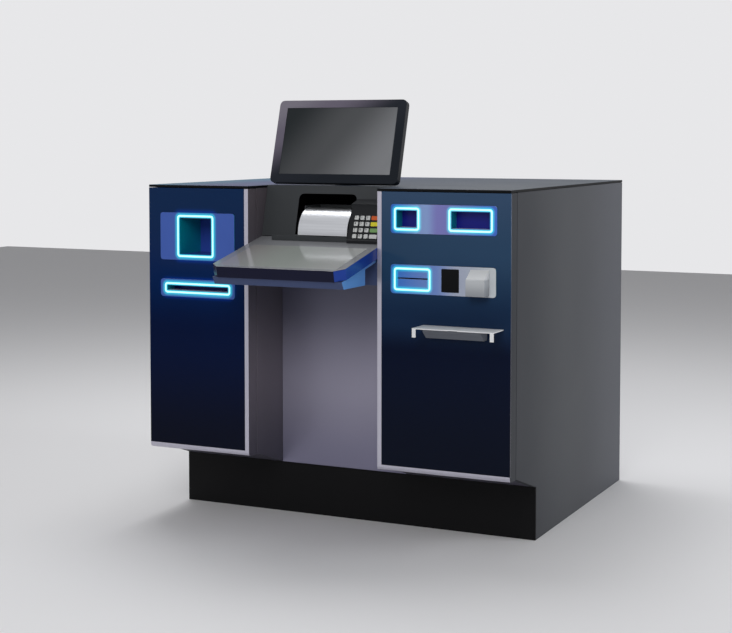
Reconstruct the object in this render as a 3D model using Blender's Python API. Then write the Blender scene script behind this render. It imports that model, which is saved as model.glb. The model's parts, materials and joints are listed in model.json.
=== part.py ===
"""Self-service cash recycler kiosk, as an assembly of separate pieces. Metres, +Z up, front towards -Y."""

import math

import bmesh
import bpy
from mathutils import Matrix, Vector

for old in list(bpy.data.objects):
    bpy.data.objects.remove(old, do_unlink=True)

# Driving dimensions
WIDTH = 1.266
PLINTH_DEPTH = 0.932
OVERHANG = 0.234
TOP = 1.100
LEFT_SHARE = 0.29652
BAY_SHARE = 0.35940
PLINTH_HEIGHT = 0.168
CHIN = 0.229
SLAB = 0.008
DOOR_THICKNESS = 0.052
DOOR_GROOVE = 0.003

# Clearances and sheet sizes that many pieces share
SEAT = 0.0003
SHUT_GAP = 0.0008
OVERRUN = 0.004
SKIN = 0.002
PANEL_FOLD = 0.020
PANEL_RIM = 0.012

# Planes worked out from them
HALF = WIDTH / 2
REAR = PLINTH_DEPTH / 2
TOE = -REAR
FRONT = TOE - OVERHANG
DOOR_BACK = FRONT + DOOR_THICKNESS
BODY = DOOR_BACK + DOOR_GROOVE
BAY_LEFT = WIDTH * LEFT_SHARE - HALF
BAY_RIGHT = BAY_LEFT + WIDTH * BAY_SHARE
BAY_MIDDLE = (BAY_LEFT + BAY_RIGHT) / 2
SLAB_BASE = TOP - SLAB
CORNER_STEPS = 3

PARTS = bpy.data.collections.new("cash_recycler_kiosk")
CUTTERS = bpy.data.collections.new("cutters")
for made in (PARTS, CUTTERS):
    bpy.context.scene.collection.children.link(made)

# Outlines are drawn in a plane: across means y and z, facing means x and z
ACROSS = Matrix(((0, 0, 1, 0), (1, 0, 0, 0), (0, 1, 0, 0), (0, 0, 0, 1)))
FACING = Matrix(((1, 0, 0, 0), (0, 0, -1, 0), (0, 1, 0, 0), (0, 0, 0, 1)))


def paint(name, colour, roughness, metallic=0.0, glow=0.0):
    material = bpy.data.materials.new(name)
    material.use_nodes = True
    shader = material.node_tree.nodes["Principled BSDF"]
    shader.inputs["Base Color"].default_value = (*colour, 1.0)
    shader.inputs["Roughness"].default_value = roughness
    shader.inputs["Metallic"].default_value = metallic
    shader.inputs["Emission Color"].default_value = (*colour, 1.0)
    shader.inputs["Emission Strength"].default_value = glow
    return material


BLACK_PAINT = paint("black_paint", (0.006, 0.006, 0.008), 0.5)
GREY_PAINT = paint("grey_paint", (0.085, 0.088, 0.095), 0.45)
BAY_PAINT = paint("bay_paint", (0.10, 0.10, 0.115), 0.4)
SATIN_PAINT = paint("satin_paint", (0.16, 0.165, 0.21), 0.35, 0.4)
BLUE_GLASS = paint("blue_glass", (0.006, 0.03, 0.11), 0.08)
TRIM_METAL = paint("trim_metal", (0.42, 0.42, 0.46), 0.3, 0.9)
BEZEL = paint("bezel_plastic", (0.22, 0.27, 0.50), 0.3)
GREY_PLASTIC = paint("grey_plastic", (0.50, 0.52, 0.55), 0.4)
LIGHT = paint("light_ring", (0.35, 1.0, 0.95), 0.4, 0.0, 3.0)
STEEL = paint("brushed_steel", (0.60, 0.61, 0.63), 0.25, 1.0)
CHARCOAL = paint("charcoal_plastic", (0.045, 0.047, 0.052), 0.45)
NAVY = paint("navy_plastic", (0.008, 0.012, 0.09), 0.3)
PAD_GLASS = paint("pad_glass", (0.25, 0.26, 0.25), 0.1)
SCREEN_GLASS = paint("screen_glass", (0.06, 0.065, 0.07), 0.06)
WHITE = paint("white_plastic", (0.85, 0.85, 0.86), 0.4)
SAFE_STEEL = paint("safe_steel", (0.20, 0.21, 0.22), 0.5, 0.5)
MODULE = paint("module_plastic", (0.12, 0.13, 0.15), 0.5)
RED = paint("red_key", (0.80, 0.16, 0.04), 0.4)
YELLOW = paint("yellow_key", (0.85, 0.75, 0.05), 0.4)
GREEN = paint("green_key", (0.20, 0.45, 0.16), 0.4)


def place(name, mesh, matrix, material):
    """Makes the object of a finished mesh. With no material it is a cutter."""
    obj = bpy.data.objects.new(name, mesh)
    obj.matrix_world = matrix
    (PARTS if material else CUTTERS).objects.link(obj)
    if material:
        mesh.materials.append(material)
    else:
        obj.hide_render = True
        obj.display_type = "WIRE"
    return obj


def box(name, low, high, material=None, frame=Matrix.Identity(4)):
    """A box from its low to its high corner, in the axes of a frame."""
    size = Vector(high) - Vector(low)
    shape = bmesh.new()
    bmesh.ops.create_cube(shape, size=1)
    bmesh.ops.scale(shape, vec=size, verts=shape.verts)
    mesh = bpy.data.meshes.new(name)
    shape.to_mesh(mesh)
    shape.free()
    middle = (Vector(high) + Vector(low)) / 2
    return place(name, mesh, frame @ Matrix.Translation(middle), material)


def prism(name, outline, low, high, material=None, frame=Matrix.Identity(4)):
    """A flat outline made solid from low to high along the third axis of its frame."""
    curve = bpy.data.curves.new(name + "_outline", "CURVE")
    curve.dimensions = "2D"
    curve.fill_mode = "BOTH"
    curve.extrude = (high - low) / 2
    spline = curve.splines.new("POLY")
    spline.points.add(len(outline) - 1)
    for point, (first, second) in zip(spline.points, outline):
        point.co = (first, second, 0, 1)
    spline.use_cyclic_u = True
    drawn = bpy.data.objects.new(name + "_outline", curve)
    CUTTERS.objects.link(drawn)
    drawn.matrix_world = frame @ Matrix.Translation((0, 0, (low + high) / 2))
    bpy.context.view_layer.update()
    seen = drawn.evaluated_get(bpy.context.evaluated_depsgraph_get())
    mesh = bpy.data.meshes.new_from_object(seen)
    mesh.name = name
    shape = bmesh.new()
    shape.from_mesh(mesh)
    bmesh.ops.remove_doubles(shape, verts=shape.verts, dist=SEAT / 10)
    bmesh.ops.recalc_face_normals(shape, faces=shape.faces)
    shape.to_mesh(mesh)
    shape.free()
    matrix = drawn.matrix_world.copy()
    bpy.data.objects.remove(drawn, do_unlink=True)
    return place(name, mesh, matrix, material)


def across(name, outline, left, right, material=None):
    """An outline in y and z, made solid from left to right."""
    return prism(name, outline, left, right, material, ACROSS)


def facing(name, outline, front, back, material=None):
    """An outline in x and z, made solid from front to back."""
    return prism(name, outline, -back, -front, material, FACING)


def rounded(left, right, bottom, top, radius):
    """The outline of a rectangle with round corners."""
    corners = ((right, top, 0), (left, top, 1), (left, bottom, 2), (right, bottom, 3))
    points = []
    for corner_x, corner_y, quarter in corners:
        centre_x = corner_x - radius if corner_x == right else corner_x + radius
        centre_y = corner_y - radius if corner_y == top else corner_y + radius
        for step in range(CORNER_STEPS + 1):
            angle = math.pi / 2 * (quarter + step / CORNER_STEPS)
            points.append((centre_x + radius * math.cos(angle), centre_y + radius * math.sin(angle)))
    return points


def rod(name, start, end, radius, material=None, sides=24):
    """A round bar between two points."""
    along = Vector(end) - Vector(start)
    shape = bmesh.new()
    bmesh.ops.create_cone(
        shape, cap_ends=True, segments=sides, radius1=radius, radius2=radius, depth=along.length
    )
    mesh = bpy.data.meshes.new(name)
    shape.to_mesh(mesh)
    shape.free()
    middle = (Vector(start) + Vector(end)) / 2
    turn = along.to_track_quat("Z", "Y").to_matrix().to_4x4()
    return place(name, mesh, Matrix.Translation(middle) @ turn, material)


def combine(target, operation, tools):
    for tool in tools:
        boolean = target.modifiers.new(tool.name, "BOOLEAN")
        boolean.operation = operation
        boolean.solver = "EXACT"
        boolean.object = tool
    return target


def cut(target, *tools):
    return combine(target, "DIFFERENCE", tools)


def join(target, *tools):
    return combine(target, "UNION", tools)


def carry(name, at, *pieces):
    """An empty on a joint's axis, which carries the pieces that move with it."""
    pivot = bpy.data.objects.new(name, None)
    pivot.location = at
    PARTS.objects.link(pivot)
    lift = Matrix.Translation(Vector(at)).inverted()
    for piece in pieces:
        piece.parent = pivot
        piece.matrix_local = lift @ piece.matrix_world
    return pivot


# Enclosure
PLINTH_BOARD = 0.006
TRAY_FLOOR = 0.004
CURB = 0.050
PANEL_INNER = HALF - PANEL_FOLD
FRAME_SHEET = 0.020
REAR_DOOR = 0.016
PANEL_TOP = SLAB_BASE - SEAT
HEEL = TOE + PLINTH_BOARD + SEAT


def plinth_base():
    front = TOE + PLINTH_BOARD
    board = box("plinth_base", (-HALF, TOE, 0), (HALF, front, PLINTH_HEIGHT), BLACK_PAINT)
    inner = PANEL_INNER - SEAT
    tray = box("plinth_tray", (-inner, front - PLINTH_BOARD / 2, 0), (inner, REAR, CURB))
    hollow = box(
        "plinth_hollow",
        (-inner + SKIN, front + SKIN, TRAY_FLOOR),
        (inner - SKIN, REAR - SKIN, CURB + OVERRUN),
    )
    return cut(join(board, tray), hollow)


def side_panel(name, side):
    """A folded sheet side: its outline follows the sloped chin over the toe space."""
    outline = (
        (BODY, CHIN),
        (TOE, PLINTH_HEIGHT + SEAT),
        (HEEL, PLINTH_HEIGHT + SEAT),
        (HEEL, 0),
        (REAR, 0),
        (REAR, PANEL_TOP),
        (BODY, PANEL_TOP),
    )
    inner = (
        (BODY + PANEL_RIM, CHIN + PANEL_RIM),
        (HEEL + PANEL_RIM, CHIN + PANEL_RIM),
        (HEEL + PANEL_RIM, PANEL_RIM),
        (REAR - PANEL_RIM, PANEL_RIM),
        (REAR - PANEL_RIM, PANEL_TOP - PANEL_RIM),
        (BODY + PANEL_RIM, PANEL_TOP - PANEL_RIM),
    )
    reach = sorted((side * PANEL_INNER, side * HALF))
    pocket = sorted((side * (PANEL_INNER - OVERRUN), side * (HALF - SKIN)))
    return cut(across(name, outline, *reach, GREY_PAINT), across(name + "_pocket", inner, *pocket))


def bay_wall(name, side, face):
    """The wall between a cabinet and the bay, with its front flange and the pan under the cabinet."""
    base = TRAY_FLOOR + SEAT
    back = REAR - REAR_DOOR - FRAME_SHEET - 2 * SEAT
    start = TOE + PLINTH_BOARD + SKIN + SEAT
    outline = (
        (BODY, CHIN),
        (TOE, PLINTH_HEIGHT + SEAT),
        (start, PLINTH_HEIGHT + SEAT),
        (start, base),
        (back, base),
        (back, PANEL_TOP),
        (BODY, PANEL_TOP),
    )
    pan = (
        (BODY, CHIN),
        (TOE, PLINTH_HEIGHT + SEAT),
        (TOE, PLINTH_HEIGHT + SEAT + SKIN),
        (BODY, CHIN + SKIN),
    )
    wall = across(name, outline, *sorted((face, face + side * SKIN)), BAY_PAINT)
    lip = sorted((face + side * SKIN / 2, face + side * PANEL_FOLD))
    flange = box(name + "_flange", (lip[0], BODY, CHIN), (lip[1], BODY + SKIN, PANEL_TOP))
    far = side * (PANEL_INNER - SEAT)
    floor = across(name + "_pan", pan, *sorted((face + side * SKIN / 2, far)))
    return join(wall, flange, floor)


def counter_top():
    top = box("counter_top", (-HALF, FRONT, SLAB_BASE), (HALF, REAR, TOP), BLACK_PAINT)
    notch = box(
        "counter_notch",
        (BAY_LEFT, FRONT - OVERRUN, SLAB_BASE - OVERRUN),
        (BAY_RIGHT, CONSOLE_TOP_Y + CONSOLE_SHEET_Y + SEAT, TOP + OVERRUN),
    )
    return cut(top, notch)


# Rear frame and its doors
SAFE_LIFT = 0.012
SAFE_HEIGHT = 0.560
SAFE_WALL = 0.008
SAFE_DOOR = 0.030
SAFE_INSET = 0.066
FOOT_INSET = 0.180
STILE = 0.030
BAY_WALL_GAP = 0.0094
SILL = 0.035
FRAME_GAP = 0.003
DOOR_LAP = 0.015
HANDLE_INSET = 0.075
SAFE_LEFT = -HALF + STILE
SAFE_RIGHT = BAY_LEFT - BAY_WALL_GAP
SAFE_FRONT = TOE + SAFE_INSET
SAFE_BACK = REAR - SAFE_DOOR - SHUT_GAP
SAFE_BASE = CURB + SAFE_LIFT
SAFE_TOP = SAFE_BASE + SAFE_HEIGHT
SERVICE_LEFT = BAY_LEFT + STILE
SERVICE_RIGHT = PANEL_INNER - STILE
SERVICE_BOTTOM = CURB + SILL
SERVICE_TOP = PANEL_TOP - SILL
HANDLE_X = SAFE_RIGHT - HANDLE_INSET
HANDLE_Z = SAFE_BASE + SAFE_HEIGHT / 2
HANDLE_DISH = 0.048
HANDLE_DEPTH = 0.018
GRIP_LENGTH = 0.080
GRIP_DEPTH = 0.014
GRIP_HEIGHT = 0.014
HANDLE_PIN = 0.008


def rear_frame():
    front = REAR - REAR_DOOR - SEAT - FRAME_SHEET
    back = REAR - REAR_DOOR - SEAT
    inner = PANEL_INNER - SEAT
    frame = box("rear_frame", (-inner, front, CURB + SEAT), (inner, back, PANEL_TOP), GREY_PAINT)
    safe_hole = box(
        "safe_hole",
        (SAFE_LEFT - FRAME_GAP, front - OVERRUN, SAFE_BASE - FRAME_GAP),
        (SAFE_RIGHT + FRAME_GAP, back + OVERRUN, SAFE_TOP + FRAME_GAP),
    )
    service_hole = box(
        "service_hole",
        (SERVICE_LEFT, front - OVERRUN, SERVICE_BOTTOM),
        (SERVICE_RIGHT, back + OVERRUN, SERVICE_TOP),
    )
    return cut(frame, safe_hole, service_hole)


def rear_door():
    left = SERVICE_LEFT - DOOR_LAP
    right = PANEL_INNER - SHUT_GAP
    low = (left, REAR - REAR_DOOR, SERVICE_BOTTOM - DOOR_LAP)
    high = (right, REAR, SERVICE_TOP + DOOR_LAP)
    door = box("rear_door", low, high, GREY_PAINT)
    rim = PANEL_RIM
    hollow = box(
        "rear_door_hollow",
        (left + rim, REAR - REAR_DOOR - OVERRUN, SERVICE_BOTTOM - DOOR_LAP + rim),
        (right - rim, REAR - SKIN, SERVICE_TOP + DOOR_LAP - rim),
    )
    carry("rear_door_hinge", (right, REAR, SERVICE_BOTTOM), cut(door, hollow))


# Safe and what stands on and in it
CASSETTES = 3
SHELF = 0.004
CASSETTE_WIDTH = 0.240
CASSETTE_DEPTH = 0.460
CASSETTE_WALL = 0.004
CASSETTE_HEAD = 0.020
CASSETTE_MOUTH = 0.030
HEAD_WALL = 0.003
HEAD_SETBACK = 0.140
HEAD_FRONT = FRONT + HEAD_SETBACK
HEAD_BACK = REAR - SAFE_INSET
HEAD_TOP = PANEL_TOP - STILE


def safe():
    low = (SAFE_LEFT, SAFE_FRONT, SAFE_BASE)
    body = box("safe_body", low, (SAFE_RIGHT, SAFE_BACK, SAFE_TOP), SAFE_STEEL)
    feet = box(
        "safe_foot",
        (SAFE_LEFT + SAFE_WALL, TOE + FOOT_INSET, TRAY_FLOOR + SEAT),
        (SAFE_RIGHT - SAFE_WALL, REAR - FOOT_INSET, SAFE_BASE + SAFE_WALL / 2),
    )
    join(body, feet)
    inner_base = SAFE_BASE + SAFE_WALL
    bay = (SAFE_HEIGHT - 2 * SAFE_WALL - (CASSETTES - 1) * SHELF) / CASSETTES
    for index in range(CASSETTES):
        floor = inner_base + index * (bay + SHELF)
        room = box(
            f"cassette_room_{index + 1}",
            (SAFE_LEFT + SAFE_WALL, SAFE_FRONT + SAFE_WALL, floor),
            (SAFE_RIGHT - SAFE_WALL, SAFE_BACK + OVERRUN, floor + bay),
        )
        cut(body, room)
        cassette(index + 1, floor + SEAT, floor + bay - CASSETTE_HEAD)
    door_parts()
    return body


def cassette(number, base, top):
    middle = (SAFE_LEFT + SAFE_RIGHT) / 2
    back = SAFE_BACK - PANEL_RIM
    front = back - CASSETTE_DEPTH
    case = box(
        f"cassette_{number}",
        (middle - CASSETTE_WIDTH / 2, front, base),
        (middle + CASSETTE_WIDTH / 2, back, top),
        MODULE,
    )
    wall = CASSETTE_WALL
    hollow = box(
        f"cassette_hollow_{number}",
        (middle - CASSETTE_WIDTH / 2 + wall, front + wall, base + wall),
        (middle + CASSETTE_WIDTH / 2 - wall, back - wall, top - wall),
    )
    mouth_top = top - CASSETTE_HEAD
    mouth = box(
        f"cassette_mouth_{number}",
        (middle - CASSETTE_WIDTH / 2 + 2 * wall, front - OVERRUN, mouth_top - CASSETTE_MOUTH),
        (middle + CASSETTE_WIDTH / 2 - 2 * wall, front + 2 * wall, mouth_top),
    )
    return cut(case, hollow, mouth)


def door_parts():
    low = (SAFE_LEFT, REAR - SAFE_DOOR, SAFE_BASE)
    door = box("safe_door", low, (SAFE_RIGHT, REAR, SAFE_TOP), SAFE_STEEL)
    dish = rod(
        "handle_dish",
        (HANDLE_X, REAR - HANDLE_DEPTH, HANDLE_Z),
        (HANDLE_X, REAR + OVERRUN, HANDLE_Z),
        HANDLE_DISH,
    )
    cut(door, dish)
    grip = box(
        "safe_handle",
        (HANDLE_X - GRIP_LENGTH / 2, REAR - SKIN - GRIP_DEPTH, HANDLE_Z - GRIP_HEIGHT / 2),
        (HANDLE_X + GRIP_LENGTH / 2, REAR - SKIN, HANDLE_Z + GRIP_HEIGHT / 2),
        STEEL,
    )
    pin = rod(
        "handle_pin",
        (HANDLE_X, REAR - HANDLE_DEPTH + SEAT, HANDLE_Z),
        (HANDLE_X, REAR - SKIN - GRIP_DEPTH / 2, HANDLE_Z),
        HANDLE_PIN,
    )
    join(grip, pin)
    hinge = carry("safe_hinge", (SAFE_LEFT, REAR, SAFE_BASE), door)
    shaft = carry("handle_shaft", (HANDLE_X, REAR, HANDLE_Z), grip)
    shaft.parent = hinge
    shaft.location = Vector(shaft.location) - hinge.location


def recycler_head():
    low = (SAFE_LEFT, HEAD_FRONT, SAFE_TOP + SEAT)
    head = box("recycler_head", low, (SAFE_RIGHT, HEAD_BACK, HEAD_TOP), MODULE)
    hollow = box(
        "head_hollow",
        (SAFE_LEFT + HEAD_WALL, HEAD_FRONT + HEAD_WALL, SAFE_TOP + SEAT + HEAD_WALL),
        (SAFE_RIGHT - HEAD_WALL, HEAD_BACK + OVERRUN, HEAD_TOP - HEAD_WALL),
    )
    return cut(head, hollow)


# Fascia doors
DOOR_HEAD_GAP = 0.0015
DOOR_FOOT_LAP = 0.001
DOOR_FOOT = 0.018
GLASS = 0.006
DOOR_BOTTOM = CHIN - DOOR_FOOT_LAP
DOOR_TOP = SLAB_BASE - DOOR_HEAD_GAP
GLASS_BOTTOM = DOOR_BOTTOM + DOOR_FOOT
TRIM = 0.0145
RING = 0.024
EDGE_GAP = 0.0005
SEAL_INSET = 0.004
SEAL_WIDTH = 0.008
LIP_ROUND = 0.012


def door_frame(name, outer, inner, side):
    """The silver frame of a fascia door: outer is the hinge edge, inner the edge next to the bay."""
    left, right = sorted((outer, inner))
    low = (left, FRONT, DOOR_BOTTOM)
    frame = box(name, low, (right, DOOR_BACK, DOOR_TOP), TRIM_METAL)
    seal = box(
        name + "_seal",
        (left + SEAL_INSET, DOOR_BACK - SEAL_WIDTH, CHIN + SEAL_INSET),
        (right - SEAL_INSET, BODY - SEAT, DOOR_TOP - SEAL_INSET),
    )
    hole = box(
        name + "_hole",
        (left + RING, FRONT - OVERRUN, DOOR_BOTTOM + RING),
        (right - RING, BODY + OVERRUN, DOOR_TOP - RING),
    )
    seal_rim = SEAL_INSET + SEAL_WIDTH
    seal_hole = box(
        name + "_seal_hole",
        (left + seal_rim, DOOR_BACK, CHIN + seal_rim),
        (right - seal_rim, BODY + OVERRUN, DOOR_TOP - seal_rim),
    )
    trim_edge = inner - side * TRIM
    rebate_edges = sorted((outer + side * -OVERRUN, trim_edge))
    rebate = box(
        name + "_rebate",
        (rebate_edges[0], FRONT - OVERRUN, GLASS_BOTTOM),
        (rebate_edges[1], FRONT + GLASS + SEAT, DOOR_TOP + OVERRUN),
    )
    lip = across(
        name + "_lip",
        (
            (FRONT - OVERRUN, DOOR_BOTTOM - OVERRUN),
            (FRONT + LIP_ROUND, DOOR_BOTTOM - OVERRUN),
            (FRONT + LIP_ROUND, DOOR_BOTTOM),
            (FRONT + LIP_ROUND / 4, DOOR_BOTTOM + LIP_ROUND / 4),
            (FRONT, DOOR_BOTTOM + LIP_ROUND),
            (FRONT - OVERRUN, DOOR_BOTTOM + LIP_ROUND),
        ),
        left - OVERRUN,
        right + OVERRUN,
    )
    return cut(join(frame, seal), hole, seal_hole, rebate, lip)


def door_glass(name, outer, inner, side, holes):
    left, right = sorted((outer, inner - side * (TRIM + SEAT)))
    low = (left, FRONT, GLASS_BOTTOM + SEAT)
    glass = box(name, low, (right, FRONT + GLASS, DOOR_TOP), BLUE_GLASS)
    for index, hole in enumerate(holes):
        grown = (hole[0] - SEAT, hole[1] + SEAT, hole[2] - SEAT, hole[3] + SEAT)
        outline = rounded(*grown, BEZEL_ROUND + SEAT)
        cut(glass, facing(f"{name}_hole_{index + 1}", outline, FRONT - OVERRUN, FRONT + GLASS + OVERRUN))
    return glass


# Modules in the fascia doors. A span is the left, right, bottom and top of a bezel, ring or mouth
BEZEL_ROUND = 0.009
BEZEL_PROUD = 0.0015
BEZEL_LAP = 0.004
BEZEL_BACK = FRONT + GLASS + BEZEL_LAP
RING_TUBE = 0.0075
RING_DEPTH = 0.003
MODULE_WALL = 0.003
LIP_TO_MOUTH = 0.0025


def bezel(name, span, material=BEZEL):
    return facing(name, rounded(*span, BEZEL_ROUND), FRONT - BEZEL_PROUD, BEZEL_BACK, material)


def inset(span, left, right, bottom, top):
    return (span[0] + left, span[1] - right, span[2] + bottom, span[3] - top)


def shrink(span, by):
    return inset(span, by, by, by, by)


def ring_groove(name, target, span, radius):
    """The groove in a bezel and the lit ring that lies in it."""
    outer = facing(name + "_groove", rounded(*span, radius), FRONT - OVERRUN, FRONT + RING_DEPTH)
    island = shrink(span, RING_TUBE)
    kept = facing(
        name + "_island",
        rounded(*island, radius - RING_TUBE / 2),
        FRONT - 2 * OVERRUN,
        FRONT + 2 * RING_DEPTH,
    )
    cut(target, cut(outer, kept))
    ring = facing(
        name,
        rounded(*shrink(span, SEAT), radius - SEAT),
        FRONT - BEZEL_PROUD - SEAT,
        FRONT + RING_DEPTH - SEAT,
        LIGHT,
    )
    bore = facing(
        name + "_bore",
        rounded(*shrink(span, RING_TUBE - SEAT), radius - RING_TUBE / 2 + SEAT),
        FRONT - OVERRUN,
        FRONT + 2 * RING_DEPTH,
    )
    return cut(ring, bore)


def pocket(name, target, mouth, depth):
    """A box behind a bezel, open at its mouth."""
    left, right, bottom, top = mouth
    wall = MODULE_WALL
    shell = box(
        name + "_shell",
        (left - wall, FRONT + BEZEL_PROUD, bottom - wall),
        (right + wall, FRONT + depth + wall, top + wall),
    )
    hollow = box(name + "_mouth", (left, FRONT - OVERRUN, bottom), (right, FRONT + depth, top))
    return cut(join(target, shell), hollow)


OUTER_INSET = 0.045
BAY_INSET = 0.0504
CASH_DROP = 0.245
CASH_BASE = TOP - CASH_DROP
CASH_HEIGHT = 0.155
CASH_BEZEL = (-HALF + OUTER_INSET, BAY_LEFT - BAY_INSET, CASH_BASE, CASH_BASE + CASH_HEIGHT)
CASH_RING_LEFT = 0.064
CASH_RING_RIGHT = 0.077
CASH_RING_BASE = 0.009
CASH_RING_TOP = 0.007
CASH_RING = inset(CASH_BEZEL, CASH_RING_LEFT, CASH_RING_RIGHT, CASH_RING_BASE, CASH_RING_TOP)
CASH_RADIUS = 0.011
CASH_MOUTH = shrink(CASH_RING, RING_TUBE + LIP_TO_MOUTH)
CASH_DEPTH = 0.128
FLAP = 0.0025
FLAP_SETBACK = 0.010
FLAP_AXIS_Y = FRONT + FLAP_SETBACK
FLAP_DROP = 0.003
DEPOSIT_DROP = 0.121
DEPOSIT_HEIGHT = 0.058
DEPOSIT_RING_SIDE = 0.015
DEPOSIT_RING_RIM = 0.011
DEPOSIT_BASE = CASH_BASE - DEPOSIT_DROP
DEPOSIT_BEZEL = (CASH_BEZEL[0], CASH_BEZEL[1], DEPOSIT_BASE, DEPOSIT_BASE + DEPOSIT_HEIGHT)
DEPOSIT_RING = inset(
    DEPOSIT_BEZEL, DEPOSIT_RING_SIDE, DEPOSIT_RING_SIDE, DEPOSIT_RING_RIM, DEPOSIT_RING_RIM
)
DEPOSIT_MOUTH = shrink(DEPOSIT_RING, RING_TUBE + LIP_TO_MOUTH)
DEPOSIT_RADIUS = 0.010
DEPOSIT_DEPTH = 0.045


def cash_shutter():
    """The flap that lies under the pocket's ceiling when open and swings down to shut the mouth."""
    left, right, bottom, top = CASH_MOUTH
    axis_z = top - FLAP_DROP
    length = axis_z - bottom - FLAP_DROP
    low = (left + SHUT_GAP, FLAP_AXIS_Y, axis_z)
    high = (right - SHUT_GAP, FLAP_AXIS_Y + length, axis_z + FLAP)
    return box("cash_shutter", low, high, CHARCOAL)


def left_door():
    inner = BAY_LEFT - EDGE_GAP
    frame = door_frame("left_door_frame", -HALF, inner, 1)
    glass = door_glass("left_door_glass", -HALF, inner, 1, (CASH_BEZEL, DEPOSIT_BEZEL))
    cash = pocket("cash_pocket", bezel("cash_pocket", CASH_BEZEL), CASH_MOUTH, CASH_DEPTH)
    cash_light = ring_groove("cash_pocket_light", cash, CASH_RING, CASH_RADIUS)
    slot = pocket("deposit_slot", bezel("deposit_slot", DEPOSIT_BEZEL), DEPOSIT_MOUTH, DEPOSIT_DEPTH)
    slot_light = ring_groove("deposit_slot_light", slot, DEPOSIT_RING, DEPOSIT_RADIUS)
    parts = (frame, glass, cash, cash_light, slot, slot_light)
    hinge = carry("left_door_hinge", (-HALF, DOOR_BACK, DOOR_BOTTOM), *parts)
    flap_axis = carry("flap_axis", (CASH_MOUTH[0], FLAP_AXIS_Y, CASH_MOUTH[3] - FLAP_DROP), cash_shutter())
    flap_axis.parent = hinge
    flap_axis.location = Vector(flap_axis.location) - hinge.location


MODULE_INSET = 0.0466
MODULE_LEFT = BAY_RIGHT + MODULE_INSET
NOTE_EDGE = 0.043
NOTE_RIGHT = HALF - NOTE_EDGE
CARD_EDGE = 0.046
CARD_RIGHT = HALF - CARD_EDGE
NOTE_DROP = 0.1365
NOTE_BASE = TOP - NOTE_DROP
NOTE_HEIGHT = 0.0895
CARD_DROP = 0.320
CARD_BASE = TOP - CARD_DROP
CARD_HEIGHT = 0.089
RING_LEFT = 0.010
RING_RIM = 0.0085
RECEIPT_WIDTH = 0.086
NOTE_WIDTH = 0.1435
NOTE_RING_RIGHT = 0.013
NOTE_RING_TOP = 0.009
CARD_RING_WIDTH = 0.123
SLOT_LEFT = 0.012
SLOT_RIGHT = 0.011
SLOT_HEIGHT = 0.0045
NOTE_BEZEL = (MODULE_LEFT, NOTE_RIGHT, NOTE_BASE, NOTE_BASE + NOTE_HEIGHT)
RING_BASE = NOTE_BASE + RING_RIM
RING_TOP = NOTE_BASE + NOTE_HEIGHT - NOTE_RING_TOP
RECEIPT_RING = (
    MODULE_LEFT + RING_LEFT,
    MODULE_LEFT + RING_LEFT + RECEIPT_WIDTH,
    RING_BASE,
    RING_TOP,
)
NOTE_RING = (
    NOTE_RIGHT - NOTE_RING_RIGHT - NOTE_WIDTH,
    NOTE_RIGHT - NOTE_RING_RIGHT,
    RING_BASE,
    RING_TOP,
)
RECEIPT_MOUTH = shrink(RECEIPT_RING, RING_TUBE + LIP_TO_MOUTH)
NOTE_MOUTH = shrink(NOTE_RING, RING_TUBE + LIP_TO_MOUTH)
MOUTH_RADIUS = 0.010
MOUTH_DEPTH = 0.040
CARD_BEZEL = (MODULE_LEFT, CARD_RIGHT, CARD_BASE, CARD_BASE + CARD_HEIGHT)
CARD_RING_EDGE = MODULE_LEFT + RING_LEFT + CARD_RING_WIDTH
CARD_RING = (
    MODULE_LEFT + RING_LEFT,
    CARD_RING_EDGE,
    CARD_BASE + RING_RIM,
    CARD_BASE + CARD_HEIGHT - RING_RIM,
)
CARD_MIDDLE = CARD_BASE + CARD_HEIGHT / 2
CARD_SLOT = (
    CARD_RING[0] + SLOT_LEFT,
    CARD_RING_EDGE - SLOT_RIGHT,
    CARD_MIDDLE,
    CARD_MIDDLE + SLOT_HEIGHT,
)
CARD_FACE = shrink(CARD_RING, RING_TUBE + LIP_TO_MOUTH)
CARD_DISH = 0.0035
CARD_DEPTH = 0.055
HOOD_WIDTH = 0.060
HOOD_INSET = 0.021
HOOD_LIFT = 0.005
HOOD_HEIGHT = 0.077
HOOD_RIGHT = CARD_RIGHT - HOOD_INSET
HOOD_LEFT = HOOD_RIGHT - HOOD_WIDTH
READER_LEFT_SHARE = 0.2713
READER_RIGHT_SHARE = 0.7093
READER_LIFT = 0.010
READER_HEIGHT = 0.070
READER_SPACE = HOOD_LEFT - CARD_RING_EDGE
READER = (
    CARD_RING_EDGE + READER_SPACE * READER_LEFT_SHARE,
    CARD_RING_EDGE + READER_SPACE * READER_RIGHT_SHARE,
    CARD_BASE + READER_LIFT,
    CARD_BASE + READER_LIFT + READER_HEIGHT,
)
READER_SINK = 0.002
READER_PROUD = 0.001
HOOD = (HOOD_LEFT, HOOD_RIGHT, CARD_BASE + HOOD_LIFT, CARD_BASE + HOOD_LIFT + HOOD_HEIGHT)
HOOD_REACH = 0.042
HOOD_FALL = 0.028
HOOD_BROW = HOOD[3] - HOOD_FALL
HOOD_WALL = 0.003
SHELF_INSET = 0.1546
SHELF_EDGE = 0.021
SHELF_BELOW = 0.0925
SHELF_LEFT = BAY_RIGHT + SHELF_INSET
SHELF_RIGHT = HALF - SHELF_EDGE
SHELF_TOP = CARD_BASE - SHELF_BELOW
SHELF_SHEET = 0.003
SHELF_REACH = 0.086
SHELF_DROP = 0.028
SHELF_LEG = 0.012
NOTCH_WIDTH = 0.030
NOTCH_DEPTH = 0.006
BRACKET_START = 0.020
BRACKET_END = 0.052
BRACKET_LEFT = SHELF_LEFT + BRACKET_START
BRACKET_RIGHT = SHELF_RIGHT - BRACKET_END
BRACKET_HEIGHT = 0.032
BRACKET_REACH = 0.052


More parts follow.
